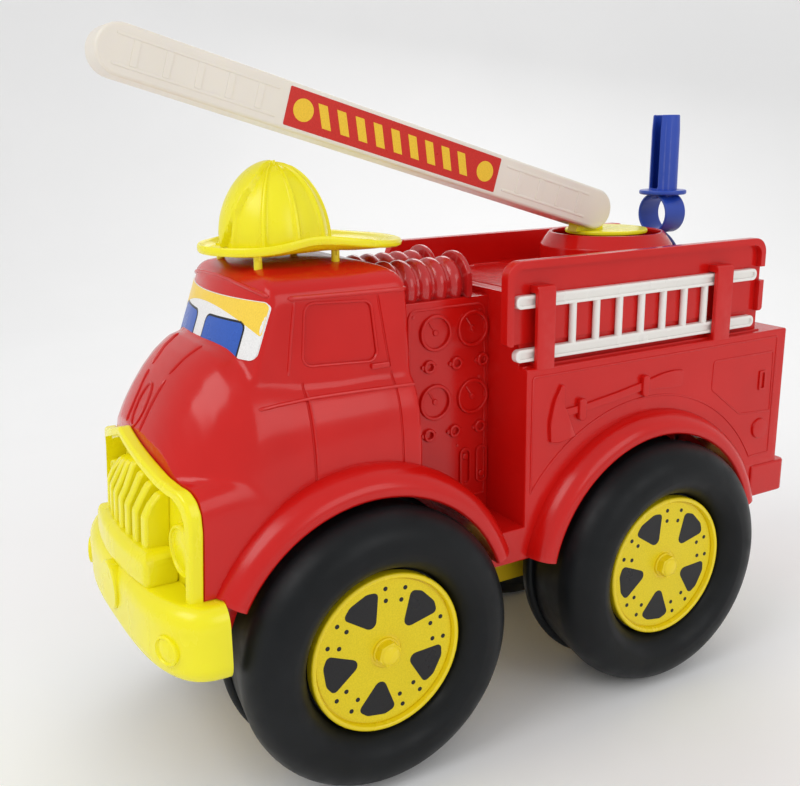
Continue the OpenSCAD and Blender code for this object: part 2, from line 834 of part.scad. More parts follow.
// printed strip on one side of the boom
module boom_label(left) {
    color("#c8281e") at_boom() mirror([left ? 0 : 1, 0, 0])
        across(boom_w / 2, boom_w / 2 + label_t) translate([label_from, -13.6]) square([190, 27.2]);
}

// ---------- ladders ----------

module side_ladder(left) {
    mid = (ladder_in + ladder_out) / 2;
    color("#f8f6f0") mirror([left ? 0 : 1, 0, 0]) {
        for (top = rail_tops) difference() {
            across(ladder_in, ladder_out) round_rect([ladder_y0, top - rail_h], [ladder_y1, top], 4.5);
            across(ladder_out - 1.6, ladder_out + 1)
                round_rect([ladder_y0 + 2.5, top - rail_h + 2.5], [ladder_y1 - 2.5, top - 2.5], 2.4);
        }
        for (y = rung_ys) translate([mid, y, rail_tops[1] - 2])
            cylinder(h = rail_tops[0] - rail_h - rail_tops[1] + 4, r = rung_r);
    }
}

// ---------- helmet ----------

// outline of the brim in plan, round in front and drawn out behind
module brim_outline(grow) {
    translate([0, helmet_y]) polygon([for (i = [0:59]) let (a = 6 * i, c = cos(a), s = sin(a))
        [(51 + grow) * c * (s > 0 ? 1 - 0.28 * s * s : 1), (s > 0 ? 99 : 58) * s + grow * s]]);
}

// half section of the crown, for turning round the helmet's middle
module dome_section(inset) {
    top = helmet_h - 2 - brim_z;
    points = bow(dome_r - inset, top - inset, 2.1, 0, 90, 16);
    polygon(concat([[0, -10]], [[dome_r - inset, -10]], points));
}

// ten raised ribs up the crown
module crown_ribs() {
    rib_count = 10;
    rib_w = 5;
    for (i = [0:rib_count - 1]) rotate([0, 0, 360 / rib_count * i]) rotate([90, 0, 0])
        translate([0, 0, -rib_w / 2]) linear_extrude(rib_w) intersection() {
            dome_section(-1.6);
            translate([3, 4]) square([60, 90]);
        }
}

module helmet() {
    color("#f0e61e") difference() {
        union() {
            translate([0, 0, brim_z]) linear_extrude(brim_t) brim_outline(0);
            translate([0, helmet_y, brim_z]) {
                difference() {
                    rotate_extrude($fn = 72) dome_section(0);
                    block([-60, -60, -20], [60, 60, 0]);
                }
                crown_ribs();
            }
            helmet_shield();
            for (p = pegs) translate([p.x, p.y, peg_low]) cylinder(h = brim_z - peg_low + 1, r = peg_r);
        }
        translate([0, helmet_y, brim_z]) rotate_extrude($fn = 72) dome_section(shell_t);
    }
}

// plain shield on the front of the crown, with the ridge that runs back from its top
module helmet_shield() {
    front = helmet_y - dome_r;
    intersection() {
        across(-18, 18) polygon([[front - 1.5, brim_z + 4], [front - 0.5, brim_z + 18],
            [front + 2, brim_z + 32], [front + 5.5, brim_z + 43], [front + 13, helmet_h - 6.5], [front + 24, brim_z + 40],
            [front + 24, brim_z + 4]]);
        along(front - 20, front + 40) polygon([[0, brim_z + 3], [8, brim_z + 13], [12.5, brim_z + 26],
            [13, brim_z + 40], [5, helmet_h - 6], [-5, helmet_h - 6], [-13, brim_z + 40],
            [-12.5, brim_z + 26], [-8, brim_z + 13]]);
    }
    across(-2, 2) polygon([[front + 10, brim_z + 40], [front + 13, helmet_h - 6.5],
        [front + 28, helmet_h - 1], [helmet_y + 2, helmet_h], [helmet_y + 16, helmet_h - 5], [helmet_y + 16, helmet_h - 20]]);
}

// ---------- nozzle ----------

module hose_nozzle() {
    loop_w = 24;
    barrel_r = 12.5;
    wall_t = 2.5;
    color("#2850b4") translate([0, nozzle_y, 0]) {
        translate([0, 0, loop_z]) rotate([0, 0, 90]) difference() {
            rod_x(-loop_w / 2, loop_w / 2, loop_r);
            rod_x(-loop_w, loop_w, loop_r - 2.2);
        }
        translate([0, 0, flange_z - 4]) cylinder(h = 4, r = 21);
        difference() {
            translate([0, 0, flange_z - 1]) cylinder(h = barrel_top - flange_z + 1, r = barrel_r);
            translate([0, 0, flange_z + 1.5]) cylinder(h = 80, r = barrel_r - wall_t);
            block([-5, -20, flange_z + 1.5], [5, 0, barrel_top + 1]);
        }
    }
}

// thin slanted arm from the loop down to its foot in the deck
module nozzle_arm() {
    top = [0, nozzle_y, loop_z - loop_r + 1];
    foot = [0, nozzle_foot_y, deck_z + 4];
    run = foot.y - top.y;
    drop = top.z - foot.z;
    color("#1e3c96") translate(top) rotate([-90 - atan(drop / run), 0, 0])
        cylinder(h = norm([run, drop]), r = nozzle_arm_r);
}

// plug on the end of the arm, standing in the deck's socket
module nozzle_foot() {
    color("#1e3c96") translate([0, nozzle_foot_y, deck_z - wall]) {
        cylinder(h = 8, r = 4);
        translate([0, 0, 7.3]) cylinder(h = 2, r = 6);
    }
}

chassis();
cab_shell();
windscreen_decal();
grille_bumper();
rear_body();
hose_reels();
axle(true);  // front_axle
axle(false);  // rear_axle
axle_push_nuts();
body_screws();
tyre(true, true);  // tyre_front_left
tyre(false, true);  // tyre_front_right
tyre(true, false);  // tyre_rear_left
tyre(false, false);  // tyre_rear_right
hub(true, true);  // hub_front_left
hub(false, true);  // hub_front_right
hub(true, false);  // hub_rear_left
hub(false, false);  // hub_rear_right
hub_label(true, true);  // hub_label_front_left
hub_label(false, true);  // hub_label_front_right
hub_label(true, false);  // hub_label_rear_left
hub_label(false, false);  // hub_label_rear_right
hub_nut(true, true);  // hub_nut_front_left
hub_nut(false, true);  // hub_nut_front_right
hub_nut(true, false);  // hub_nut_rear_left
hub_nut(false, false);  // hub_nut_rear_right
turntable();
turntable_washer();
turntable_screw();
boom_pivot_pin();
aerial_boom();
boom_label(true);  // boom_label_left
boom_label(false);  // boom_label_right
side_ladder(true);  // side_ladder_left
side_ladder(false);  // side_ladder_right
helmet();
hose_nozzle();
nozzle_arm();
nozzle_foot();
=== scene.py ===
import json
import math

import bmesh
import bpy
from mathutils import Matrix, Vector
from mathutils.bvhtree import BVHTree

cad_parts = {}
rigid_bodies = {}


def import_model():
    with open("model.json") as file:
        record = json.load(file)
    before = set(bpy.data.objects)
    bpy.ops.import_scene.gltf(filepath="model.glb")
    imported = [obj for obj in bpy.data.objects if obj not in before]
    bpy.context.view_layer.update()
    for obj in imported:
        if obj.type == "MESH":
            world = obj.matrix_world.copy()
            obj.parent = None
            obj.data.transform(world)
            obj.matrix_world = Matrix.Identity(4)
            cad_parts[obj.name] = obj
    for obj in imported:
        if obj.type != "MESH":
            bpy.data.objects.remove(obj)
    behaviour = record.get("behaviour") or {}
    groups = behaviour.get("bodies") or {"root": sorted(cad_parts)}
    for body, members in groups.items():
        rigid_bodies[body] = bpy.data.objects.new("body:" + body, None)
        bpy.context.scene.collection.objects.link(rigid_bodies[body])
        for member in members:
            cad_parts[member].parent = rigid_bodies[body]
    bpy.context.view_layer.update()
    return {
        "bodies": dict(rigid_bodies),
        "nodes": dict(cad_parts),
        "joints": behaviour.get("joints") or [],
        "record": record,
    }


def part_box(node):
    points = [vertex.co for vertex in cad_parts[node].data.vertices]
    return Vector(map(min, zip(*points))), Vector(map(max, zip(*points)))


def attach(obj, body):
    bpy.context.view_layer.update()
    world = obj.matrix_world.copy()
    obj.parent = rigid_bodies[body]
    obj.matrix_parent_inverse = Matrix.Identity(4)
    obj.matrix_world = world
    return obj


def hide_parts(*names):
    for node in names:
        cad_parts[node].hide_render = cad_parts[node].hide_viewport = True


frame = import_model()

# Toy fire engine. Shapes are written in millimetres, in the frame of the CAD part:
# +Z up, the front faces -Y, the ground is Z = 0. Helpers turn them into metres.
MM = 0.001


# ---------- camera ----------

CAMERA_AT = Vector((676.1, -452.8, 465.3)) * MM
CAMERA_YAW = math.radians(59.56)
CAMERA_PITCH = math.radians(15.1)
CAMERA_ROLL = math.radians(-0.783)
CAMERA_LENS = 44.69


def add_camera():
    """The camera that sees the truck as the photo does, turned by yaw, pitch and roll."""
    level = Vector((-math.sin(CAMERA_YAW), math.cos(CAMERA_YAW), 0))
    up = Vector((0, 0, 1))
    forward = math.cos(CAMERA_PITCH) * level - math.sin(CAMERA_PITCH) * up
    lifted = math.cos(CAMERA_PITCH) * up + math.sin(CAMERA_PITCH) * level
    side = Vector((math.cos(CAMERA_YAW), math.sin(CAMERA_YAW), 0))
    right = math.cos(CAMERA_ROLL) * side + math.sin(CAMERA_ROLL) * lifted
    top = -math.sin(CAMERA_ROLL) * side + math.cos(CAMERA_ROLL) * lifted
    data = bpy.data.cameras.new("camera")
    data.lens = CAMERA_LENS
    data.sensor_width = 36
    data.clip_start = 0.01
    camera = bpy.data.objects.new("camera", data)
    bpy.context.collection.objects.link(camera)
    turn = Matrix((right, top, -forward)).transposed().to_4x4()
    camera.matrix_world = Matrix.Translation(CAMERA_AT) @ turn
    bpy.context.scene.camera = camera


add_camera()


# ---------- places and sizes taken from the frame ----------

def span(node):
    """Lowest and highest corner of a CAD node, in millimetres."""
    low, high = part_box(node)
    return low / MM, high / MM


TYRE_LOW, TYRE_HIGH = span("tyre_front_left")
TYRE_R = (TYRE_HIGH.z - TYRE_LOW.z) / 2
AXLE_Z = TYRE_R
FRONT_AXLE = (TYRE_LOW.y + TYRE_HIGH.y) / 2
REAR_AXLE = sum(corner.y for corner in span("tyre_rear_left")) / 2
TYRE_IN = TYRE_LOW.x
TYRE_OUT = TYRE_HIGH.x
HUB_LOW, HUB_HIGH = span("hub_front_left")
HUB_R = (HUB_HIGH.z - HUB_LOW.z) / 2
HUB_LIP = HUB_HIGH.x
HUB_FLOOR = HUB_LIP - 10
HUB_FACE = HUB_LIP - 4
BODY_LOW, BODY_HIGH = span("rear_body")
BUMPER_LOW = span("grille_bumper")[0]
REAR_END = BODY_HIGH.y
SHELL_BOTTOM = BODY_LOW.z
BOARD_TOP = BODY_HIGH.z - 5
FLARE_OUT = BODY_HIGH.x
CAB_END = -91
SIDE_X = 98
LEDGE_Z = 285
DECK_Z = 341
PUMP_X = 46
PUMP_TOP = 336
ARCH_R = 111
WALL = 3
TABLE_Y = sum(corner.y for corner in span("turntable_washer")) / 2
PIN_LOW, PIN_HIGH = span("boom_pivot_pin")
PIVOT = (PIN_LOW + PIN_HIGH) / 2
NOZZLE_Y = 227
NOZZLE_FOOT_Y = sum(corner.y for corner in span("nozzle_foot")) / 2
TABLE_AT = (0, TABLE_Y, 0)
FOOT_AT = (0, NOZZLE_FOOT_Y, 0)
SPINDLE_BORE = 8.06
PLUG_BORE = 4.05
HELMET_Y = -159
HELMET_PEGS = [(x, HELMET_Y + y) for x in (-36, 36) for y in (-30, 30)]


# ---------- outlines in two dimensions ----------

def rounded(points, radius, steps=5):
    """The same outline with its corners rounded, all alike or by a list of radii."""
    made = []
    for i, corner in enumerate(points):
        r = radius[i] if isinstance(radius, (list, tuple)) else radius
        p = Vector(corner)
        back = Vector(points[i - 1]) - p
        ahead = Vector(points[(i + 1) % len(points)]) - p
        half = back.angle(ahead) / 2
        if r <= 0 or half > math.radians(88):
            made.append(tuple(p))
            continue
        reach = min(r / math.tan(half), 0.48 * back.length, 0.48 * ahead.length)
        r = reach * math.tan(half)
        centre = p + (back.normalized() + ahead.normalized()).normalized() * r / math.sin(half)
        start = p + back.normalized() * reach - centre
        end = p + ahead.normalized() * reach - centre
        a0 = math.atan2(start.y, start.x)
        turn = (math.atan2(end.y, end.x) - a0 + math.pi) % (2 * math.pi) - math.pi
        for k in range(steps + 1):
            a = a0 + turn * k / steps
            made.append((centre.x + r * math.cos(a), centre.y + r * math.sin(a)))
    return made


def rectangle(a0, a1, b0, b1):
    """Corners of a rectangle, going round."""
    return [(a0, b0), (a1, b0), (a1, b1), (a0, b1)]


def arc(centre, radius, start, end, steps):
    """Points on a circle, or on an ellipse if radius is a pair, from one angle to another in degrees."""
    ra, rb = radius if isinstance(radius, tuple) else (radius, radius)
    angles = [math.radians(start + (end - start) * i / steps) for i in range(steps + 1)]
    return [(centre[0] + ra * math.cos(a), centre[1] + rb * math.sin(a)) for a in angles]


def oval(centre, radius, steps=40):
    return arc(centre, radius, 0, 360, steps)[:-1]


def bow(width, height, power, start=0, end=180, steps=36):
    """Points on a superellipse about the origin."""
    made = []
    for i in range(steps + 1):
        a = math.radians(start + (end - start) * i / steps)
        c, s = math.cos(a), math.sin(a)
        made.append((width * math.copysign(abs(c) ** (2 / power), c),
                     height * math.copysign(abs(s) ** (2 / power), s)))
    return made


# ---------- forms: closed meshes ----------

DRAPE_STEP = 3.0
BEVEL_FROM = math.radians(35)
# where a flat outline's two directions and its height point, for each axis of the height
AXES = {"x": lambda a, b, h: Vector((h, a, b)),
        "y": lambda a, b, h: Vector((a, h, b)),
        "z": lambda a, b, h: Vector((a, b, h))}


def skin(rings, closed=False, bevel=0.0, segments=2):
    """A closed form through rings of points. A ring is a closed loop; closed joins the last to the first."""
    bm = bmesh.new()
    rows = [[bm.verts.new(Vector(p) * MM) for p in ring] for ring in rings]
    count = len(rows[0])
    pairs = list(zip(rows, rows[1:]))
    if closed:
        pairs.append((rows[-1], rows[0]))
    else:
        bm.faces.new(rows[0])
        bm.faces.new(rows[-1])
    for low, high in pairs:
        for j in range(count):
            k = (j + 1) % count
            bm.faces.new((low[j], low[k], high[k], high[j]))
    bmesh.ops.remove_doubles(bm, verts=bm.verts, dist=2e-6)
    bmesh.ops.recalc_face_normals(bm, faces=bm.faces)
    if bevel:
        edges = [e for e in bm.edges if abs(e.calc_face_angle(0)) > BEVEL_FROM]
        bmesh.ops.bevel(bm, geom=edges, offset=bevel * MM, segments=segments, profile=0.5,
                        affect="EDGES", clamp_overlap=True)
    return as_mesh(bm)


def as_mesh(bm):
    mesh = bpy.data.meshes.new("form")
    bm.to_mesh(mesh)
    bm.free()
    return mesh


def slab(outline, low, high, axis="x", bevel=0.0, segments=2):
    """A flat outline filled from low to high along an axis."""
    place = AXES[axis]
    return skin([[place(a, b, h) for a, b in outline] for h in (low, high)], bevel=bevel, segments=segments)


def block(low, high, bevel=0.0, segments=2):
    return slab(rectangle(low[0], high[0], low[1], high[1]), low[2], high[2], "z", bevel, segments)


def revolve(section, axis="x", centre=(0, 0, 0), start=0, sweep=360, steps=96):
    """A section of (radius, distance along the axis), turned about the axis."""
    place = AXES[axis]
    whole = sweep >= 360
    rings = []
    for i in range(steps if whole else steps + 1):
        a = math.radians(start + sweep * i / steps)
        rings.append([place(r * math.cos(a), r * math.sin(a), h) + Vector(centre) for r, h in section])
    return skin(rings, closed=whole)


def lathe(section, radii=None, axis="z", centre=(0, 0, 0), steps=48, corner=4):
    """A turned form: a section of (radius, distance along the axis), with its corners rounded if asked."""
    outline = section if radii is None else rounded(section, radii, corner)
    return revolve(outline, axis, centre, steps=steps)


def rod(radius, low, high, axis="z", centre=(0, 0, 0), steps=24, radii=None, corner=4):
    """A round rod or disc from low to high along an axis."""
    return lathe([(0, low), (radius, low), (radius, high), (0, high)], radii, axis, centre, steps, corner)


def stud(face, radii, height, edge, axis, centre, steps=24, crown=0.0, corner=4):
    """A low stud on a face: radii at its foot and its top, a rounded edge, and a crown in the middle."""
    foot, top = radii
    section = [(0, face - 1), (foot, face - 1), (top, face + height), (0, face + height + crown)]
    return lathe(section, [0, 0, edge, 0] if edge else None, axis, centre, steps, corner)


def pad(a0, a1, b0, b1, radius, low, high, axis="x", bevel=0.0, segments=2, corner=4):
    """A plate with rounded corners: an outline from a0 to a1 and b0 to b1, filled from low to high."""
    return slab(rounded(rectangle(a0, a1, b0, b1), radius, corner), low, high, axis, bevel, segments)


def tube(points, radius, closed=False, sides=8):
    """A round rod along a path, with its free ends drawn in."""
    path = [Vector(p) for p in points]
    last = len(path) - 1
    rings = []
    across = None
    for i, p in enumerate(path):
        ahead = path[(i + 1) % len(path)] if closed else path[min(i + 1, last)]
        back = path[i - 1] if closed else path[max(i - 1, 0)]
        along = (ahead - back).normalized()
        if across is None:
            across = along.orthogonal().normalized()
        across = (across - along * across.dot(along)).normalized()
        other = along.cross(across)
        r = radius * 0.55 if not closed and i in (0, last) else radius
        rings.append([p + r * (across * math.cos(a) + other * math.sin(a))
                      for a in (2 * math.pi * k / sides for k in range(sides))])
    return skin(rings, closed=closed)


# ---------- working on forms ----------

def loose(mesh):
    obj = bpy.data.objects.new("loose", mesh)
    bpy.context.collection.objects.link(obj)
    return obj


def applied(obj):
    """The object's mesh with its modifiers worked in; the object goes."""
    graph = bpy.context.evaluated_depsgraph_get()
    mesh = bpy.data.meshes.new_from_object(obj.evaluated_get(graph))
    bpy.data.objects.remove(obj)
    return mesh


def combine(operation, mesh, tools):
    """The form after a boolean operation with each tool in turn."""
    base = loose(mesh)
    others = [loose(tool) for tool in tools]
    for other in others:
        modifier = base.modifiers.new("combine", "BOOLEAN")
        modifier.solver = "MANIFOLD"
        modifier.operation = operation
        modifier.object = other
    made = applied(base)
    for other in others:
        bpy.data.objects.remove(other)
    return made


def union(mesh, *tools):
    return combine("UNION", mesh, tools)


def cut(mesh, *tools):
    return combine("DIFFERENCE", mesh, tools)


def overlap(mesh, *tools):
    return combine("INTERSECT", mesh, tools)


def mirrored(mesh):
    other = mesh.copy()
    other.transform(Matrix.Scale(-1, 4, (1, 0, 0)))
    other.flip_normals()
    return other


def both(*meshes):
    """The forms and their mirror images on the other side of the truck."""
    return [made for mesh in meshes for made in (mesh, mirrored(mesh))]


def join(*meshes):
    """Forms side by side in one mesh, without merging them."""
    bm = bmesh.new()
    for mesh in meshes:
        bm.from_mesh(mesh)
    return as_mesh(bm)


def moved(mesh, matrix):
    mesh.transform(matrix)
    return mesh


def painted(mesh, index):
    mesh.polygons.foreach_set("material_index", [index] * len(mesh.polygons))
    return mesh


def melted(meshes, voxel, rounds):
    """Forms run together into one, with soft fillets where they meet."""
    obj = loose(join(*meshes))
    remesh = obj.modifiers.new("melt", "REMESH")
    remesh.mode = "VOXEL"
    remesh.voxel_size = voxel * MM
    smooth = obj.modifiers.new("soften", "SMOOTH")
    smooth.factor = 0.5
    smooth.iterations = rounds
    return applied(obj)


def ground(mesh):
    """A search tree of a form's surface, for laying beads on it."""
    return BVHTree.FromPolygons([v.co for v in mesh.vertices], [p.vertices for p in mesh.polygons])


def laid(tree, path, axis, side):
    """A flat path laid on a surface, seen along an axis from the side given as 1 or -1."""
    place = AXES[axis]
    look = place(0, 0, -side)
    made = []
    for a, b in path:
        hit = tree.ray_cast((place(a, b, 0) - look * 500) * MM, look)
        if hit[0] is not None:
            made.append(hit[0] / MM)
    return made


def dense(path, step=2.0, closed=False):
    """The same path with points no further apart than step."""
    ends = list(zip(path, path[1:] + path[:1])) if closed else list(zip(path, path[1:]))
    made = []
    for p, q in ends:
        count = max(1, math.ceil(math.dist(p, q) / step))
        made += [tuple(a + (b - a) * i / count for a, b in zip(p, q)) for i in range(count)]
    return made if closed else made + [path[-1]]


def bead(tree, path, axis, side, radius, closed=False):
    """A thin raised line that follows a surface."""
    return tube(laid(tree, dense(path, closed=closed), axis, side), radius, closed=closed)


def flat_line(path, place, radius, step=2.0):
    """A closed raised line on a flat face; place turns a point of the path into one on the face."""
    return tube([place(*point) for point in dense(path, step, closed=True)], radius, closed=True)


def draped(tree, outline, axis, side, inner, outer):
    """A flat outline laid on a surface, from a depth inside it to a height above it."""
    place = AXES[axis]
    look = place(0, 0, -side)
    bm = bmesh.new()
    bm.from_mesh(slab(outline, -1, 1, axis))
    for direction in (place(1, 0, 0), place(0, 1, 0)):
        places = [v.co.dot(direction) / MM for v in bm.verts]
        for i in range(1, math.ceil((max(places) - min(places)) / DRAPE_STEP)):
            at = direction * (min(places) + i * DRAPE_STEP) * MM
            everything = bm.verts[:] + bm.edges[:] + bm.faces[:]
            bmesh.ops.bisect_plane(bm, geom=everything, dist=1e-6, plane_co=at, plane_no=direction)
    for v in bm.verts:
        flat = v.co - look * v.co.dot(look)
        above = v.co.dot(look) < 0
        hit = tree.ray_cast(flat - look * 500 * MM, look)
        v.co = hit[0] - look * (outer if above else -inner) * MM
    bmesh.ops.recalc_face_normals(bm, faces=bm.faces)
    return as_mesh(bm)


def piece(name, mesh, materials, body, nodes, sharp=38):
    """Puts a finished form in the scene: its finish, its body and the CAD nodes it stands for."""
    mesh.name = name
    chosen = [face.material_index for face in mesh.polygons]
    mesh.materials.clear()
    for material in materials:
        mesh.materials.append(material)
    mesh.polygons.foreach_set("material_index", chosen if len(materials) > 1 else [0] * len(chosen))
    mesh.shade_smooth()
    mesh.set_sharp_from_angle(angle=math.radians(sharp))
    obj = bpy.data.objects.new(name, mesh)
    bpy.context.collection.objects.link(obj)
    weighted = obj.modifiers.new("weighted", "WEIGHTED_NORMAL")
    weighted.keep_sharp = True
    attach(obj, body)
    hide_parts(*nodes)


# ---------- materials ----------

def new_material(name):
    """An empty node material: itself, its tree and its shader, joined to the output."""
    material = bpy.data.materials.new(name)
    material.use_nodes = True
    tree = material.node_tree
    tree.nodes.clear()
    shader = tree.nodes.new("ShaderNodeBsdfPrincipled")
    output = tree.nodes.new("ShaderNodeOutputMaterial")
    tree.links.new(shader.outputs["BSDF"], output.inputs["Surface"])
    return material, tree, shader


def noise(tree, scale, detail=2.0, stretch=(1, 1, 1)):
    """Noise fixed to the object, from about 0.3 to 0.7."""
    place = tree.nodes.new("ShaderNodeTexCoord")
    mapping = tree.nodes.new("ShaderNodeMapping")
    mapping.inputs["Scale"].default_value = stretch
    tree.links.new(place.outputs["Object"], mapping.inputs["Vector"])
    node = tree.nodes.new("ShaderNodeTexNoise")
    node.inputs["Scale"].default_value = scale
    node.inputs["Detail"].default_value = detail
    tree.links.new(mapping.outputs["Vector"], node.inputs["Vector"])
    return node.outputs["Fac"]


def spread(tree, value, low, high, start=0.3, end=0.7):
    """A value between start and end, turned into one between low and high."""
    node = tree.nodes.new("ShaderNodeMapRange")
    node.inputs["From Min"].default_value = start
    node.inputs["From Max"].default_value = end
    node.inputs["To Min"].default_value = low
    node.inputs["To Max"].default_value = high
    tree.links.new(value, node.inputs["Value"])
    return node.outputs["Result"]


def blended(tree, factor, first, second):
    """A colour between two others, each a value or a socket."""
    node = tree.nodes.new("ShaderNodeMix")
    node.data_type = "RGBA"
    tree.links.new(factor, node.inputs["Factor"])
    for socket, value in ((node.inputs[6], first), (node.inputs[7], second)):
        if isinstance(value, bpy.types.NodeSocket):
            tree.links.new(value, socket)
        else:
            socket.default_value = (*value, 1)
    return node.outputs[2]


def bumped(tree, shader, layers):
    """Relief from (height, distance in millimetres) layers, one over the other."""
    before = None
    for height, distance in layers:
        node = tree.nodes.new("ShaderNodeBump")
        node.inputs["Strength"].default_value = 1.0
        node.inputs["Distance"].default_value = distance * MM
        tree.links.new(height, node.inputs["Height"])
        if before is not None:
            tree.links.new(before, node.inputs["Normal"])
        before = node.outputs["Normal"]
    tree.links.new(before, shader.inputs["Normal"])


def plastic(name, colour, roughness=0.26, tone=0.05, coat=0.0, glow=0.0, wear=0.25, sheen=0.5):
    """Moulded plastic: flow clouds in the colour, uneven gloss, fine grain and paler worn edges."""
    material, tree, shader = new_material(name)
    clouds = noise(tree, 14, 3)
    light = tuple(min(1.0, c * (1 + tone) + tone * 0.04) for c in colour)
    dark = tuple(c * (1 - tone) for c in colour)
    body = blended(tree, spread(tree, clouds, 0, 1), dark, light)
    geometry = tree.nodes.new("ShaderNodeNewGeometry")
    scuffs = noise(tree, 180, 4)
    edges = spread(tree, geometry.outputs["Pointiness"], 0, wear, 0.53, 0.62)
    worn = tree.nodes.new("ShaderNodeMath")
    worn.operation = "MULTIPLY"
    tree.links.new(edges, worn.inputs[0])
    tree.links.new(spread(tree, scuffs, 0.3, 1), worn.inputs[1])
    pale = tuple(c + (1 - c) * 0.22 for c in colour)
    tree.links.new(blended(tree, worn.outputs[0], body, pale), shader.inputs["Base Color"])
    smears = noise(tree, 32, 5, (1, 1, 0.5))
    tree.links.new(spread(tree, smears, roughness - 0.04, roughness + 0.08), shader.inputs["Roughness"])
    bumped(tree, shader, [(noise(tree, 26, 1), 0.05), (noise(tree, 1400, 2), 0.012)])
    shader.inputs["IOR"].default_value = 1.5
    shader.inputs["Specular IOR Level"].default_value = sheen
    shader.inputs["Coat Weight"].default_value = coat
    shader.inputs["Coat Roughness"].default_value = 0.12
    if glow:
        shader.inputs["Subsurface Weight"].default_value = glow
        shader.inputs["Subsurface Radius"].default_value = (1.0, 0.8, 0.2)
        shader.inputs["Subsurface Scale"].default_value = 2.5 * MM
    return material


def rubbery(name, colour):
    """Satin blow-moulded tyre: patches of dust, uneven gloss, gentle waves and a fine skin."""
    material, tree, shader = new_material(name)
    dusty = tuple(c * 1.6 + 0.0025 for c in colour)
    patches = spread(tree, noise(tree, 20, 5), 0, 1, 0.42, 0.74)
    tree.links.new(blended(tree, patches, colour, dusty), shader.inputs["Base Color"])
    tree.links.new(spread(tree, noise(tree, 60, 4), 0.36, 0.52), shader.inputs["Roughness"])
    bumped(tree, shader, [(noise(tree, 30, 2), 0.12), (noise(tree, 1100, 3), 0.02)])
    shader.inputs["Specular IOR Level"].default_value = 0.22
    return material


def steel(name):
    """Bright drawn steel with streaks along the rod."""
    material, tree, shader = new_material(name)
    streaks = noise(tree, 500, 3, (0.05, 1, 1))
    tree.links.new(blended(tree, spread(tree, streaks, 0, 1), (0.42, 0.43, 0.45), (0.66, 0.67, 0.69)),
                   shader.inputs["Base Color"])
    tree.links.new(spread(tree, streaks, 0.22, 0.42), shader.inputs["Roughness"])
    bumped(tree, shader, [(streaks, 0.02)])
    shader.inputs["Metallic"].default_value = 1.0
    return material


def print_ink(name, colour, roughness=0.34):
    """Printed sheet: flat ink with a faint screen pattern and uneven gloss."""
    material, tree, shader = new_material(name)
    screen = noise(tree, 900, 1)
    tree.links.new(blended(tree, spread(tree, screen, 0, 1), tuple(c * 0.94 for c in colour),
                           tuple(min(1.0, c * 1.05 + 0.004) for c in colour)),
                   shader.inputs["Base Color"])
    tree.links.new(spread(tree, noise(tree, 40, 4), roughness - 0.05, roughness + 0.09),
                   shader.inputs["Roughness"])
    bumped(tree, shader, [(noise(tree, 60, 3), 0.03), (screen, 0.006)])
    shader.inputs["Specular IOR Level"].default_value = 0.3
    return material


RED = plastic("red_plastic", (0.6, 0.006, 0.004), roughness=0.18, coat=0.06, wear=0.15, sheen=0.36)
DEEP_RED = plastic("reel_red", (0.52, 0.012, 0.012), roughness=0.18, coat=0.3)
YELLOW = plastic("yellow_plastic", (0.93, 0.84, 0.006), roughness=0.25, glow=0.1, tone=0.03, wear=0.08)
WHEEL_YELLOW = plastic("wheel_yellow", (0.9, 0.69, 0.005), roughness=0.24, tone=0.03)
# The chassis is the same yellow plastic darkened to amber: painted shade for a part that sits in shadow under
# the body.
CHASSIS_YELLOW_SHADED = plastic("chassis_yellow", (0.78, 0.52, 0.01), roughness=0.34)
WHITE = plastic("white_plastic", (0.87, 0.85, 0.81), roughness=0.24, tone=0.02)
IVORY = plastic("ivory_plastic", (0.82, 0.76, 0.67), roughness=0.33, tone=0.03, glow=0.08)
BLUE = plastic("blue_plastic", (0.014, 0.06, 0.43), roughness=0.33)
DARK_BLUE = plastic("arm_blue", (0.012, 0.03, 0.24), roughness=0.34)
TYRE = rubbery("black_tyre", (0.004, 0.005, 0.006))
STEEL = steel("steel")
INK_YELLOW = print_ink("ink_yellow", (0.82, 0.64, 0.008))
INK_DARK = print_ink("ink_dark", (0.012, 0.012, 0.014), 0.3)
INK_WHITE = print_ink("ink_white", (0.86, 0.86, 0.85), 0.3)
INK_GOLD = print_ink("ink_gold", (0.88, 0.55, 0.03), 0.32)
INK_BAND = print_ink("ink_band", (0.96, 0.66, 0.07), 0.32)
INK_BLUE = print_ink("ink_blue", (0.03, 0.11, 0.5), 0.28)
INK_RED = print_ink("ink_red", (0.6, 0.02, 0.012), 0.3)


# ---------- wheels ----------

WHEELS = [("front", "left"), ("front", "right"), ("rear", "left"), ("rear", "right")]


def tyre_section():
    """Outline of the hollow tyre as (radius, X), outwards along the tread and in over the ridge."""
    ridge_r = HUB_R + 19
    shoulder = [(ridge_r + r, TYRE_OUT - 27 + h) for r, h in bow(TYRE_R - ridge_r, 27, 2.25, 0, 90, 14)]
    recess = [(ridge_r - r, TYRE_OUT - 20 + h) for r, h in bow(17.2, 20, 1.75, 90, 0, 12)]
    flank = rounded([(TYRE_R, TYRE_IN + 20), (TYRE_R - 3, TYRE_IN + 7), (TYRE_R - 16, TYRE_IN),
                     (24, TYRE_IN), (14, TYRE_IN + 3)], [12, 9, 8, 3, 1], 6)
    return flank[::-1] + shoulder + recess + [(HUB_R + 0.6, HUB_FLOOR - 0.2), (14, HUB_FLOOR - 0.2)]


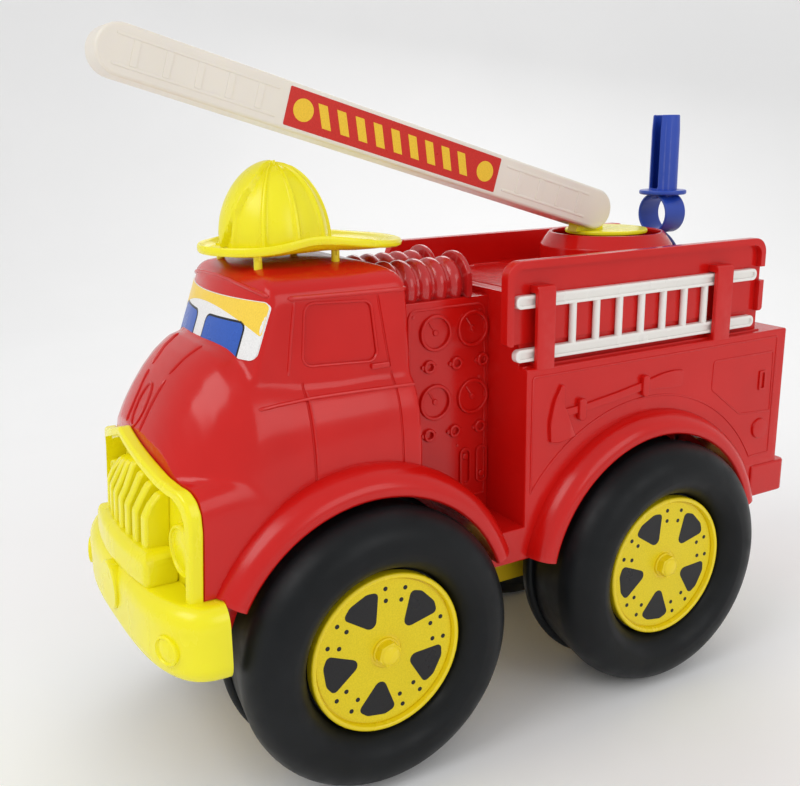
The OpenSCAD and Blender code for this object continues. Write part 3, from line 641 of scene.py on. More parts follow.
def hub_section():
    """Wheel disc with its raised round lip, and the sleeve on the axle."""
    lip = rounded([(HUB_R - 4.4, HUB_FACE), (HUB_R - 3.6, HUB_LIP), (HUB_R, HUB_LIP), (HUB_R, HUB_FLOOR)],
                  [1.2, 1.3, 1.8, 0.8], 5)
    return [(4.1, TYRE_IN + 0.2), (4.1, HUB_FACE)] + lip + [
        (13.8, HUB_FLOOR), (13.8, TYRE_IN + 3.2), (9, TYRE_IN + 0.2)]


WINDOWS = 5
WINDOW_TURN = -25.6


def turned(outline, degrees):
    """An outline drawn with +B outwards from the middle, turned clockwise about it."""
    c, s = math.cos(math.radians(degrees)), math.sin(math.radians(degrees))
    return [(a * c + b * s, b * c - a * s) for a, b in outline]


def label_mesh():
    """Printed yellow disc with dark rounded windows and pairs of dots by the spokes."""
    base = HUB_FACE
    window_out = 49.5
    window = [(0, 18.5), (15.5, 44.5), (7.5, window_out - 0.4), (-7.5, window_out - 0.4), (-15.5, 44.5)]
    window = rounded(window, [5, 3.6, 8, 8, 3.6], 5)
    dots = [(8.2, 47.5), (-8.2, 47.5), (6.4, 38.5), (-6.4, 38.5)]
    disc = rectangle(12.2, HUB_R - 5.2, base - 0.3, base + 0.25)
    parts = [painted(lathe(disc, 0.1, "x", steps=96, corner=1), 0)]
    for i in range(WINDOWS):
        angle = WINDOW_TURN + 360 / WINDOWS * i
        shapes = [turned(window, angle)]
        shapes += [turned(oval(dot, 1.7, 20), angle + 180 / WINDOWS) for dot in dots]
        for shape in shapes:
            parts.append(painted(slab(shape, base + 0.1, base + 0.42, "x"), 1))
    return join(*parts)


def nut_mesh():
    """Hexagon cap with a flange and a domed middle."""
    base = HUB_FACE
    hexagon = arc((0, 0), 9.6, 15, 375, 6)[:-1]
    body = slab(rounded(hexagon, 1.2, 3), base, base + 7.6, "x", 0.9, 3)
    flange = rod(10.4, base, base + 1.8, "x", steps=48, radii=[0, 0.3, 0.8, 0], corner=3)
    dome = revolve([(0, base + 6)] + arc((0, base + 7.3), (7.6, 2.6), 0, 90, 9), steps=48)
    bore = rod(7.2, base - 1, base + 5.2, "x", steps=48)
    return cut(union(body, flange, dome), bore)


def at_wheel(mesh, front, left):
    """A wheel form drawn about the X axis, put on its axle end."""
    place = Matrix.Translation(Vector((0, FRONT_AXLE if front == "front" else REAR_AXLE, AXLE_Z)) * MM)
    mesh = mesh.copy() if left == "left" else mirrored(mesh)
    return moved(mesh, place)


def add_wheels():
    forms = [("tyre", revolve(tyre_section(), steps=128), [TYRE], "black_tyre", 50),
             ("hub", revolve(hub_section(), steps=128), [WHEEL_YELLOW], "wheel_yellow", 40),
             ("hub_label", label_mesh(), [INK_YELLOW, INK_DARK], "wheel_print", 30),
             ("hub_nut", nut_mesh(), [WHEEL_YELLOW], "wheel_yellow", 40)]
    for front, left in WHEELS:
        for part, mesh, materials, slot, sharp in forms:
            name = f"{part}_{front}_{left}"
            piece(name + "_form", at_wheel(mesh, front, left), materials,
                  f"wheel_{front}_{left}", [name], sharp)


# ---------- fenders, shared by the cab and the rear body ----------

def fender(y, start, end, crease_x, crease_r):
    """A flared ring round an axle, between two angles from the rear level."""
    lip_r = ARCH_R + 2.5
    roll = FLARE_OUT - crease_x
    outer = [(lip_r + (crease_r - lip_r) * math.cos(a) ** 0.85, crease_x + roll * math.sin(a) ** 1.15)
             for a in (math.radians(90 * i / 12) for i in range(13))]
    lip = arc((lip_r, FLARE_OUT - 1.2), (2.0, 1.2), 90, 180, 4)
    section = [(ARCH_R - 1.5, crease_x - 4), (crease_r, crease_x - 4)] + outer + lip[1:] + [
        (ARCH_R - 1.5, FLARE_OUT - 3)]
    return revolve(section, "x", (0, y, AXLE_Z), start, end - start, 72)


def wheel_space(y, radius, inner):
    """Round space for a wheel, from a place beside the chassis out past the fenders."""
    return slab(oval((y, AXLE_Z), radius, 144), inner, FLARE_OUT + 21, "x")


# ---------- cab ----------

def hood_form(inset=0.0):
    """Hood and lower cab: stations of (Y, top, half width, squareness) from the rear to the nose."""
    stations = [(CAB_END, 300, 93.5, 6), (-120, 301, 94, 6), (-150, 303, 94.5, 5.4), (-178, 307, 95.5, 4.8),
                (-195, 313, 97, 4.3), (-208, 318.5, 98, 3.9), (-219, 321.5, 98.5, 3.5), (-230, 320, 98, 3.1),
                (-241, 313, 96.5, 2.85), (-251, 303, 94, 2.7), (-259, 292, 90, 2.7), (-266, 280, 85, 2.8),
                (-272, 269, 77, 2.9), (-277, 260, 62, 2.7), (-280, 249, 40, 2.4)]
    base, foot = 165, 105
    rings = []
    for y, top, width, power in stations:
        w, h = width - inset, top - base - inset
        y = y - inset if y == CAB_END else y + (inset if y < -250 else 0)
        half = bow(w, h, power, steps=48)
        rings.append([(w, y, foot)] + [(x, y, base + z) for x, z in half] + [(-w, y, foot)])
    return skin(rings)


def pontoon(inset=0.0):
    """The swelling over the front wheel, from the grille back to the door."""
    stations = [(-278, 45, 78), (-264, 45, 78.5), (-250, 45.2, 81), (-236, 45, 82.5), (-220, 44.2, 80.5),
                (-204, 42.5, 75), (-188, 40, 67), (-170, 36, 56)]
    middle, base, foot = 56, 163, 103
    rings = []
    for y, width, height in stations:
        w, h = width - inset, height - inset
        arch = [(middle + x, y, base + z) for x, z in bow(w, h, 6, steps=40)]
        rings.append([(middle + w, y, foot)] + arch + [(middle - w, y, foot)])
    return skin(rings)


def screen_y(z):
    """Where the middle of the leaning windscreen stands at a height."""
    return -226 + (z - 315) * math.tan(math.radians(20))


def greenhouse(inset=0.0):
    """Windows and roof: level rings of (Z, half width, front, rear)."""
    levels = [(262, 81.5, screen_y(262), CAB_END), (298, 78.2, screen_y(298), CAB_END),
              (325, 75.8, screen_y(325), CAB_END), (352, 73.4, screen_y(352), CAB_END),
              (357, 72.4, screen_y(356), CAB_END - 0.5), (361, 69.6, screen_y(359), CAB_END - 2),
              (364.5, 65, -206, CAB_END - 4.5), (367.5, 58, -202, CAB_END - 9),
              (370.5, 44, -193, CAB_END - 19), (372.6, 26, -178, CAB_END - 34),
              (373.4, 10, -165, CAB_END - 52)]
    top = levels[-1][0] - inset
    bow_r = 174
    sides = 14
    rings = []
    for z, width, front, rear in levels:
        w, f, r = width - inset, front + inset, rear - inset
        flatness = 2 * bow_r / min(1, w / 72)
        places = [(w - 2) * (1 - 2 * i / sides) for i in range(sides + 1)]
        bowed = [(x, f + x ** 2 / flatness) for x in places]
        corner = bowed[0][1] + 3
        outline = [(w, r), (w, corner)] + bowed + [(-w, corner), (-w, r)]
        radii = [min(4, w / 3), 9] + [0] * (sides + 1) + [9, min(4, w / 3)]
        rings.append([(x, y, min(z, top)) for x, y in rounded(outline, radii, 4)])
    return skin(rings)


WINDOW = [(-172.5, 350), (-121.5, 347.5), (-118.5, 304.5), (-177.5, 307.5)]


def cab_relief(tree):
    """Raised lines and grooves of the cab, laid on its surface: (beads, grooves)."""
    drip = [(CAB_END - 0.5, 352.8), (-140, 353.4), (-184, 354.2)]
    belt = [(CAB_END - 0.5, 285), (-130, 286), (-170, 286.5), (-200, 286), (-214, 285)]
    pillar = [(-180, 352), (-184, 330), (-188.5, 303)]
    hinge = [(-176.6, 291), (-176.6, 238)]
    lines = [(drip, 1.8, False), (belt, 1.4, False), (rounded(WINDOW, 7, 6), 1.05, True),
             (pillar, 1.1, False), (hinge, 0.9, False)]
    seams = [[(-178.4, 297), (-178.4, 286), (-178.4, 226)], [(-116, 351), (-109.5, 299)],
             [(-108.6, 296), (-108.2, 286), (-108, 226)]]
    beads = []
    grooves = []
    for side in (1, -1):
        beads += [bead(tree, path, "x", side, radius, closed) for path, radius, closed in lines]
        grooves += [bead(tree, path, "x", side, 1.05) for path in seams]
    visor = [(70, 356.5), (60, 358.8), (45, 361.3), (25, 363.4), (0, 364.3)]
    visor += [(-x, z) for x, z in visor[-2::-1]]
    beads.append(bead(tree, visor, "y", -1, 1.5))
    for side in (1, -1):
        above = [(25.5 * side, -229), (22.5 * side, -242), (19 * side, -252)]
        below = [(19 * side, 297), (16.5 * side, 280), (15.5 * side, 262)]
        beads.append(bead(tree, above, "z", 1, 1.2))
        beads.append(bead(tree, below, "y", -1, 1.1))
    beads.append(bead(tree, oval((0, 277), (8.5, 14.5)), "y", -1, 1.15, closed=True))
    return beads, grooves


def add_cab():
    """Cab shell: three forms melted together, hollowed, with its relief, fenders and openings."""
    form = melted([hood_form(), greenhouse(), *both(pontoon())], voxel=2.3, rounds=5)
    tree = ground(form)
    recess = rounded(WINDOW, 6.2, 5)
    windows = [draped(tree, recess, "x", side, 1.0, 6) for side in (1, -1)]
    beads, grooves = cab_relief(tree)
    handle = block((74, -125, 299.2), (80.5, -110.5, 303.2), 1.1)
    guard_section = rectangle(ARCH_R - 1.5, ARCH_R + 3.5, PUMP_X + 0.6, 100)
    guard = revolve(guard_section, "x", (0, FRONT_AXLE, AXLE_Z), 21, 48, 40)
    flares = fender(FRONT_AXLE, 20, 152, 95, 131)
    bosses = [rod(5.5, 350, 368, centre=(x, y, 0)) for x, y in HELMET_PEGS]
    holes = [rod(3.1, 352, 378, centre=(x, y, 0)) for x, y in HELMET_PEGS]
    inside = union(hood_form(WALL), greenhouse(WALL), *both(pontoon(WALL)))
    shell = cut(form, inside, *windows, join(*grooves))
    shell = union(shell, join(*beads), *both(handle), *both(flares), *both(guard), join(*bosses))
    shell = cut(shell, *both(wheel_space(FRONT_AXLE, ARCH_R, PUMP_X + 1)), join(*holes), *grille_space(),
                block((-104, -300, 60), (104, BUMPER_BACK, BUMPER_TOP + 1)),
                *both(block((100, -300, 60), (130, BUMPER_END, BUMPER_TOP + 1))),
                block((-130, -300, 60), (130, 20, SHELL_BOTTOM)))
    piece("cab_form", shell, [RED], "truck", ["cab_shell"], 44)
    add_screen_print()


def add_screen_print():
    """Sheet on the windscreen: white, a yellow band along the top and two plain blue window panes."""
    screen = ground(greenhouse())
    sheet = rounded([(-74.5, 315), (74.5, 315), (72.8, 353), (-72.8, 353)], 5, 5)
    arched = [(x, 346 - 0.0028 * x * x) for x in range(-69, 70, 6)]
    band = rounded([(-72.6, 352.6), (-73.6, 331)] + arched + [(73.6, 331), (72.6, 352.6)],
                   [4, 1] + [0] * len(arched) + [1, 4], 4)
    layers = [draped(screen, sheet, "y", -1, 0.6, 0.75)]
    layers.append(painted(draped(screen, band, "y", -1, -0.3, 0.9), 1))
    pane_x, frame_half, frame_top, frame_width = 33, 25, 339, 1.4
    for side in (-1, 1):
        x = pane_x * side
        pane_half = frame_half - frame_width
        frame = rounded(rectangle(x - frame_half, x + frame_half, 300, frame_top), 6, 5)
        layers.append(painted(draped(screen, frame, "y", -1, -0.3, 0.9), 3))
        pane = rounded(rectangle(x - pane_half, x + pane_half, 301, frame_top - frame_width), 4.8, 5)
        layers.append(painted(draped(screen, pane, "y", -1, -0.5, 1.0), 2))
    crest = hood_form(-1.4)
    piece("windscreen_print", join(*[cut(layer, crest) for layer in layers]),
          [INK_WHITE, INK_BAND, INK_BLUE, INK_DARK], "truck", ["windscreen_decal"], 30)


# ---------- grille and front bumper ----------

FACE_Y = -290.0
RIM_DEPTH = 9.5
RIM_BACK = FACE_Y + RIM_DEPTH
TRAY_BACK = FACE_Y + 19
TRAY_INSET = 4
GRILLE_HALF = 101
LEAN = 0.06
LEAN_FROM = 190
BUMPER_FRONT = -300.5
BUMPER_BACK = -268
BUMPER_END = -254
BUMPER_TOP = 166
BUMPER_HALF = 118
BUMPER_REACH = BUMPER_END - BUMPER_FRONT
BUMPER_POWER = 3.1
HEADLAMP_X, HEADLAMP_Z = 79, 195
FOG_LAMP_X, FOG_LAMP_Z = 95.5, 136


def sweep(x):
    """How far the bowed face lies behind its middle."""
    return 0.0017 * x * x


def swept(mesh):
    """Bends a form drawn on a flat face back along the bow and the lean of the grille."""
    for v in mesh.vertices:
        v.co.y += (sweep(v.co.x / MM) + LEAN * (v.co.z / MM - LEAN_FROM)) * MM
    return mesh


def sliced(mesh):
    """The same form cut across every 5 mm of X, so that it can be bent."""
    bm = bmesh.new()
    bm.from_mesh(mesh)
    for i in range(-21, 22):
        bmesh.ops.bisect_plane(bm, geom=bm.verts[:] + bm.edges[:] + bm.faces[:], dist=1e-6,
                               plane_co=(i * 5 * MM, 0, 0), plane_no=(1, 0, 0))
    return as_mesh(bm)


def mirrored_path(half):
    """A path that ends on the middle line, and its other half."""
    return half + [(-x, z) for x, z in half[-2::-1]]


def grille_outline(inset, foot=158):
    """Outline of the grille: upright sides, round shoulders and a peak in the middle."""
    half = [(GRILLE_HALF, foot), (101, 214), (99.5, 226), (95, 234.5), (88, 239.5), (79, 240.5),
            (65, 243.5), (50, 248.5), (30, 254.5), (10, 260.5), (0, 263.5)]
    radii = [0, 30, 14, 14, 14, 14, 20, 20, 20, 12, 9]
    near = [(x * (GRILLE_HALF - inset) / GRILLE_HALF, z - inset if z > 170 else z) for x, z in half]
    return rounded(mirrored_path(near), radii + radii[-2::-1], 5)


def grille_space():
    """What the cab leaves free for the grille and its deep tray."""
    tray = slab(grille_outline(TRAY_INSET - 0.4), FACE_Y, TRAY_BACK + 0.4, "y")
    ahead = slab(rectangle(-104, 104, 100, 272), FACE_Y - 40, RIM_BACK + 0.2, "y")
    return [swept(sliced(tray)), swept(sliced(ahead))]


def grille_blade(x):
    """One upright slat: straight in front, its top rounded back into the tray."""
    front, back, half = FACE_Y - 0.5, TRAY_BACK - 2, 4.3
    top = 228 + (45 - abs(x)) * 0.22
    side = [(back, 176), (front, 176), (front, 211), (front + 4, 219), (front + 10, top - 2), (back, top)]
    return slab(rounded(side, [0, 2, 8, 8, 6, 0], 5), x - half, x + half, "x", 2.0, 3)


def crossbar():
    """Broad bar under the slats, rounded in front and at both ends."""
    half, low, high = 62, 164, 189
    side = rounded([(FACE_Y - 7.5, low), (FACE_Y - 7.5, high), (TRAY_BACK - 2, high), (TRAY_BACK - 2, low)],
                   [6, 7, 0, 0], 6)
    ends = pad(-half, half, low - 4, high, [0, 0, 9, 9], -320, -240, "y", corner=6)
    return overlap(slab(side, -half, half, "x", 4, 4), ends)


def headlamp():
    """Round lamp with a raised rim and a domed glass, drawn facing -Y at the origin."""
    section = [(0, 12), (18.4, 12), (18.6, 1.2), (17.4, -0.8), (16.0, -0.4), (15.2, 1.2), (10, -0.2),
               (0, -1.2)]
    return lathe(section, [0, 0, 0.8, 0.9, 0.8, 0.8, 8, 0], "y", steps=72)


def placed(mesh, x, y, z, turn):
    """A form drawn at the origin, turned about the upright and put in its place."""
    return moved(mesh, Matrix.Translation(Vector((x, y, z)) * MM) @ Matrix.Rotation(turn, 4, "Z"))


def add_grille():
    """The one yellow moulding: rim, tray, slats, crossbar, lamps and bumper."""
    rim = cut(slab(grille_outline(0), FACE_Y, RIM_BACK, "y", 2.4, 5),
              slab(grille_outline(5.2, 150), FACE_Y - 5, RIM_BACK + 1, "y"))
    floor = slab(rounded(grille_outline(TRAY_INSET + 3, 162), 2, 2), FACE_Y - 5, TRAY_BACK - 2.4, "y")
    tray = cut(slab(grille_outline(TRAY_INSET), RIM_BACK - 4, TRAY_BACK, "y"), floor)
    forms = [swept(sliced(form)) for form in (rim, tray, crossbar())]
    forms += [swept(grille_blade(15 * i)) for i in range(-3, 4)]
    for side in (-1, 1):
        x = HEADLAMP_X * side
        y = TRAY_BACK - 11.5 + sweep(x)
        forms.append(placed(headlamp(), x, y, HEADLAMP_Z, math.radians(5 * side)))
    form = union(forms[0], *forms[1:], bumper_form(), *bumper_details())
    low = BUMPER_LOW.z
    hollow = block((-86, BUMPER_FRONT + 14, low - 1), (86, BUMPER_BACK + 1, BUMPER_TOP - 3))
    form = cut(form, hollow, block((-150, -330, low - 10), (150, -200, low)))
    piece("grille_form", form, [YELLOW], "truck", ["grille_bumper"], 50)


def bumper_reach(x):
    """Y of the bumper's face in plan and how far it has turned, at a distance from the middle."""
    across = abs(x) / BUMPER_HALF
    rest = 1 - across ** BUMPER_POWER
    y = BUMPER_END - BUMPER_REACH * rest ** (1 / BUMPER_POWER)
    slope = BUMPER_REACH / BUMPER_HALF * across ** (BUMPER_POWER - 1) * rest ** (1 / BUMPER_POWER - 1)
    return y, math.atan(slope)


def bumper_form():
    """The deep bowed bumper, rounded above and below."""
    turns = [math.radians(a) for a in range(0, 91, 15)]
    levels = [(BUMPER_LOW.z + 13 * (1 - math.cos(a)), 9 * (1 - math.sin(a))) for a in turns]
    levels += [(BUMPER_TOP - 15 * (1 - math.sin(a)), 11 * (1 - math.cos(a))) for a in turns]
    rings = []
    for z, inset in levels:
        half = bow(BUMPER_HALF - inset, BUMPER_REACH - inset, BUMPER_POWER, steps=64)
        rings.append([(-x, BUMPER_END - y, z) for x, y in half])
    behind = block((-100, BUMPER_BACK, BUMPER_LOW.z - 1), (100, BUMPER_END + 1, BUMPER_TOP + 1))
    return cut(skin(rings), behind)


def bumper_details():
    """Plain round plaque in the middle and a lamp near each end."""
    made = [rod(18, 0, 8, "y", (0, BUMPER_LOW.y + 0.2, 147), 72, [0, 1.4, 0, 0])]
    section = [(0, 8), (10.8, 8), (10.8, -1.8), (9.2, -2.4), (8.2, -1.0), (4, -2), (0, -2.4)]
    for x in (-FOG_LAMP_X, FOG_LAMP_X):
        lamp = lathe(section, [0, 0, 0.9, 0.6, 0.5, 3, 0], "y")
        y, turn = bumper_reach(x)
        made.append(placed(lamp, x, y, FOG_LAMP_Z, math.copysign(turn, x)))
    return made


# ---------- rear body ----------

RIM = 6
BOARD_IN, RECESS_X, BOARD_X = 83, 86, 92
BOARD_Y0, BOARD_Y1 = -16, 263
PANEL_Y0, PANEL_Y1 = -1, 291
STEP_Y, STEP_TOP = -34, 158
REAR_Y, REAR_TOP = 257, 160
HOLLOW_LOW = 120
STRAPS = [(8, 25), (198, 217)]
RAIL_TOPS = [341, 300]
RAIL_H = 10
STRAP_TOP = 348
STRAP_OUT = 98


def board_outline(inset):
    low = LEDGE_Z + 18 - (0 if inset == 0 else 24)
    return rounded(rectangle(BOARD_Y0 + inset, BOARD_Y1 - inset, low, BOARD_TOP - inset),
                   [3, 3, 13 - inset * 0.7, 13 - inset * 0.7], 7)


def body_shell():
    """Hollow shell of the lower body, deck, pump section, step and rear bumper."""
    seam = BOARD_X - 1
    outside = [block((-SIDE_X, PANEL_Y0, SHELL_BOTTOM), (SIDE_X, PANEL_Y1, LEDGE_Z), 1.8, 3),
               block((-seam, PANEL_Y0 + 0.5, LEDGE_Z - 4), (seam, BOARD_Y1 - 0.5, LEDGE_Z + 1.4), 0.7),
               block((-RECESS_X, PANEL_Y0, LEDGE_Z - 4), (RECESS_X, BOARD_Y1, DECK_Z), 1),
               block((-PUMP_X, CAB_END + 0.2, SHELL_BOTTOM), (PUMP_X, PANEL_Y0 + 6, PUMP_TOP), 1.4),
               block((-SIDE_X, STEP_Y, SHELL_BOTTOM), (SIDE_X, 14, STEP_TOP), 1.6),
               pad(-100, 100, REAR_Y, REAR_END, [2, 2, 7, 7], SHELL_BOTTOM, REAR_TOP, "z", 2.2, 3, 6)]
    side, ledge, deck = SIDE_X - WALL, LEDGE_Z - WALL, DECK_Z - WALL
    inside = [block((-side, PANEL_Y0 + WALL, HOLLOW_LOW), (side, PANEL_Y1 - WALL, ledge)),
              block((-BOARD_IN, PANEL_Y0 + WALL, ledge - 2), (BOARD_IN, BOARD_Y1 - WALL, deck)),
              block((-PUMP_X + WALL, CAB_END + WALL, HOLLOW_LOW),
                    (PUMP_X - WALL, PANEL_Y0 + 8, PUMP_TOP - WALL)),
              block((-side, STEP_Y + WALL, HOLLOW_LOW), (side, 16, STEP_TOP - WALL)),
              block((-side, PANEL_Y1 - 9, HOLLOW_LOW), (side, REAR_END - WALL, REAR_TOP - WALL))]
    return cut(union(outside[0], *outside[1:]), *inside)


def side_board():
    """Board with a raised rim round its recess, and two notches where the rails come out."""
    panel = slab(board_outline(0), BOARD_IN, RECESS_X + 1, "x", 0.8)
    rim = cut(slab(board_outline(0), BOARD_IN + 1, BOARD_X, "x", 1.1, 3),
              slab(board_outline(RIM), RECESS_X, BOARD_X + 3, "x"))
    foot = block((BOARD_IN, PANEL_Y0 + 0.6, LEDGE_Z - 4), (RECESS_X, BOARD_Y1 - 0.6, LEDGE_Z + 40))
    notches = [block((RECESS_X, BOARD_Y1 - 22, top - RAIL_H - 1), (BOARD_X + 2, BOARD_Y1 + 2, top + 1))
               for top in RAIL_TOPS]
    return cut(union(panel, rim, foot), *notches)


def straps():
    """Loops that hold the ladder's rails against the board."""
    root, low, shelf = RECESS_X - 1, LEDGE_Z - 2, RAIL_TOPS[0] + 1
    lip = STRAP_OUT - 4.6
    face = rounded([(root, STRAP_TOP), (STRAP_OUT, STRAP_TOP), (STRAP_OUT, low), (lip, low), (lip, shelf),
                    (root, shelf)], [0, 3.4, 0, 0, 1, 0], 5)
    seat = RAIL_TOPS[1] - RAIL_H - 1.2
    made = []
    for y0, y1 in STRAPS:
        made.append(slab(face, y0, y1, "y", 1.0, 3))
        made.append(block((root, y0 + 1, low), (STRAP_OUT - 1, y1 - 1, seat), 0.6))
    return made


def pump_relief():
    """Gauges, caps, levers, rivets and the border line of the pump panel."""
    face = PUMP_X
    gauges = [(-50.3, 311), (-16, 311), (-51, 256), (-16, 256)]
    caps = [(-56.5, 285), (-31.3, 285), (-6.8, 285), (-57, 230), (-33.2, 230), (-9, 230)]
    rivets = [(-70, 325), (-9.5, 325), (-70, 271), (-9.5, 271), (-70, 217), (-30, 217)]
    gauge = [(11.6, face - 1), (11.8, face + 2.6), (14.3, face + 2.6), (14.8, face - 1)]
    cap = [(2.9, face - 1), (2.9, face + 2.8), (5.2, face + 2.8), (5.6, face - 1)]
    made = []
    for y, z in gauges:
        made.append(lathe(gauge, [0, 0.8, 0.8, 0], "x", (0, y, z)))
        made.append(stud(face, (2.6, 2.3), 1.3, 0.7, "x", (0, y, z), 20, corner=3))
        made.append(tube([(face, y, z), (face + 0.2, y - 3.4, z + 5), (face, y - 6, z + 9)], 1.0))
    for y, z in caps:
        made.append(lathe(cap, [0, 0.6, 0.8, 0], "x", (0, y, z), 32, 3))
        ears = pad(y - 7.2, y + 7.2, z - 1.7, z + 1.7, 1.2, face - 1, face + 1.8, bevel=0.4, corner=3)
        made.append(cut(ears, rod(4, face - 2, face + 4, "x", (0, y, z), 32)))
    for y, nub in ((-23, 206.5), (-7.4, 189.5)):
        outer = pad(y - 5.4, y + 5.4, 182, 214, 5.3, face - 1, face + 2.3, bevel=0.6, corner=8)
        made.append(cut(outer, pad(y - 3.4, y + 3.4, 184, 212, 3.3, face - 0.6, face + 4, corner=8)))
        made.append(stud(face, (2.9, 2.7), 2, 0.9, "x", (0, y, nub)))
    border = rounded(rectangle(-74.5, -4.5, 172, 330), [1, 1, 7, 7], 6)
    made.append(flat_line(border, lambda y, z: (face, y, z), 1.1))
    made += [stud(face, (1.5, 1.3), 0.7, 0, "x", (0, y, z), 12, 0.3) for y, z in rivets]
    return made


def panel_relief():
    """Border bead, axe in its clips, locker door, handle and knob on one side panel."""
    face = SIDE_X
    centre = (124, 97.5)
    bead_r = 148.6
    first = math.degrees(math.asin((170 - centre[1]) / bead_r))
    last = 180 - math.degrees(math.acos((centre[0] - 4) / bead_r))
    border = rounded([(4, 200), (4, 279), (279, 279), (279, 170)], [0, 3, 3, 2], 4)
    border += arc(centre, bead_r, first, last, 60)
    head = [(21.5, 224.5), (20.5, 240), (24, 256), (31.5, 270), (34.2, 269), (34.6, 252), (37, 248.5),
            (39, 243.5), (46.5, 226), (40, 224.5), (30, 223)]
    head = rounded(head, [1, 20, 20, 1.5, 1.5, 3, 4, 12, 1, 20, 20], 4)
    upper = [(36, 249.5), (60, 251.2), (90, 255.2), (118, 260), (140, 264.2), (152, 265), (162.5, 263.8)]
    lower = [(162.5, 250.8), (150, 250.4), (132, 252), (112, 252.2), (90, 248.8), (60, 244.8), (36, 243.6)]
    half = [0, 9, 9, 9, 9, 9, 1.5]
    shaft = rounded(upper + lower, half + half[::-1], 3)
    door = [(200.5, 266), (275.5, 265.6), (276.5, 210.4), (237, 213), (199.6, 240.7)]
    made = [flat_line(border, lambda y, z: (face, y, z), 0.85, 2.5),
            slab(head, face - 1, face + 3, "x", 1.0, 3),
            slab(shaft, face - 1, face + 2.2, "x", 0.8)]
    for y, z in ((52, 247), (119, 256.5)):
        made.append(pad(y - 3.6, y + 3.6, z - 9, z + 9, 3.2, face - 1, face + 4.4, "x", 1.2, 3, 5))
    made.append(flat_line(rounded(door, [3, 3, 2, 5, 4], 4), lambda y, z: (face, y, z), 0.8, 2.5))
    made.append(cut(pad(258.8, 267, 231.5, 249.5, 1.2, face - 1, face + 1.4, bevel=0.4, corner=3),
                    pad(260.8, 265, 233.5, 247.5, 0.6, face - 0.8, face + 3, corner=2)))
    made.append(stud(face, (9.6, 9), 2, 1.2, "x", (0, 264, 195.4), 48, 0.4))
    return made


def rear_relief():
    """Border bead and two plain lamp rings on the back of the body."""
    face = PANEL_Y1
    made = [flat_line(rounded(rectangle(-88, 88, 172, 275), 5, 5), lambda x, z: (x, face, z), 0.85, 2.5)]
    ring = [(0, -1), (10, -1), (9.6, 2.2), (7.4, 2.2), (7, 0.8), (0, 1.2)]
    for x in (-70, 70):
        made.append(lathe(ring, [0, 0, 0.9, 0.6, 0, 0], "y", (x, face, 190), 40, 3))
    return made


def table_ring():
    """Ring that carries the turntable, with its boss and ribs."""
    foot = DECK_Z - 1
    lip = [(54.6, foot), (58, foot), (58, 361), (50.2, 372), (47.4, 372), (47.4, 369), (54.6, 358)]
    boss = [(SPINDLE_BORE, foot), (15, foot), (15, 362.5), (14.5, 363), (SPINDLE_BORE, 363)]
    made = [lathe(lip, [0, 0, 2.5, 1.2, 1.0, 0.8, 2], "z", TABLE_AT, 128),
            lathe(boss, None, "z", TABLE_AT, 64)]
    for i in range(6):
        rib = block((13.5, -1, foot), (56, 1, 356), 0.3, 1)
        made.append(placed(rib, *TABLE_AT, math.radians(30 + 60 * i)))
    return made


def deck_relief():
    """Shallow lines moulded in the bed, two locating studs and the nozzle's socket."""
    z = DECK_Z
    made = [flat_line(rounded(rectangle(-70, 70, 12, 92), 5, 4), lambda x, y: (x, y, z), 0.9, 3)]
    made += [stud(z, (4.2, 3.8), 2.6, 1.2, "z", (x, 52, 0), 28, 0.4) for x in (-56, 56)]
    socket = [(PLUG_BORE, z - 1), (7.4, z - 1), (7, z + 4), (PLUG_BORE, z + 4)]
    made.append(lathe(socket, [0, 0, 0.8, 0.4], "z", FOOT_AT, 40))
    return made


def add_rear_body():
    shell = body_shell()
    relief = both(*pump_relief(), *panel_relief())
    shell = union(shell, *both(side_board(), *straps()), *both(fender(REAR_AXLE, 14, 167.5, SIDE_X, 129)),
                  *relief, *rear_relief(), *table_ring(), *deck_relief())
    post = rectangle(2, 5.5, 155, DECK_Z - 1)
    posts = [lathe(post, None, "z", (x, y, 0), 24) for x in (-30, 30) for y in (16, 238)]
    spindle = rod(SPINDLE_BORE, DECK_Z - 10, 400, "z", TABLE_AT, 64)
    socket = rod(PLUG_BORE, DECK_Z - 10, 360, "z", FOOT_AT, 40)
    shell = cut(union(shell, join(*posts)), *both(wheel_space(REAR_AXLE, ARCH_R, PUMP_X + 1)),
                *both(wheel_space(FRONT_AXLE, ARCH_R + WALL + 1.3, PUMP_X + 1)), spindle, socket)
    piece("rear_body_form", shell, [RED], "truck", ["rear_body"], 40)


def add_reels():
    """Two reels of coiled hose lying side by side."""
    reel, coil_r, cord_r = (24, 0, 345), 14.5, 6.6
    coils = []
    for i in range(5):
        y = -82.5 + 13.5 * i
        cord = [(coil_r + r, y + h) for r, h in oval((0, 0), cord_r, 28)]
        coils.append(lathe(cord, None, "y", reel, 80))
    core = rod(coil_r + 3, -89.5, -20, "y", reel, 80)
    flange = rod(24.8, -21.5, -17, "y", reel, 96, [0, 1.6, 1.6, 0])
    keep = block((0.3, -90.5, PUMP_TOP), (47, -16, 380))
    reels = both(overlap(union(core, *coils, flange), keep))
    piece("hose_reels_form", join(*reels), [DEEP_RED], "truck", ["hose_reels"], 40)


# ---------- turntable and boom ----------

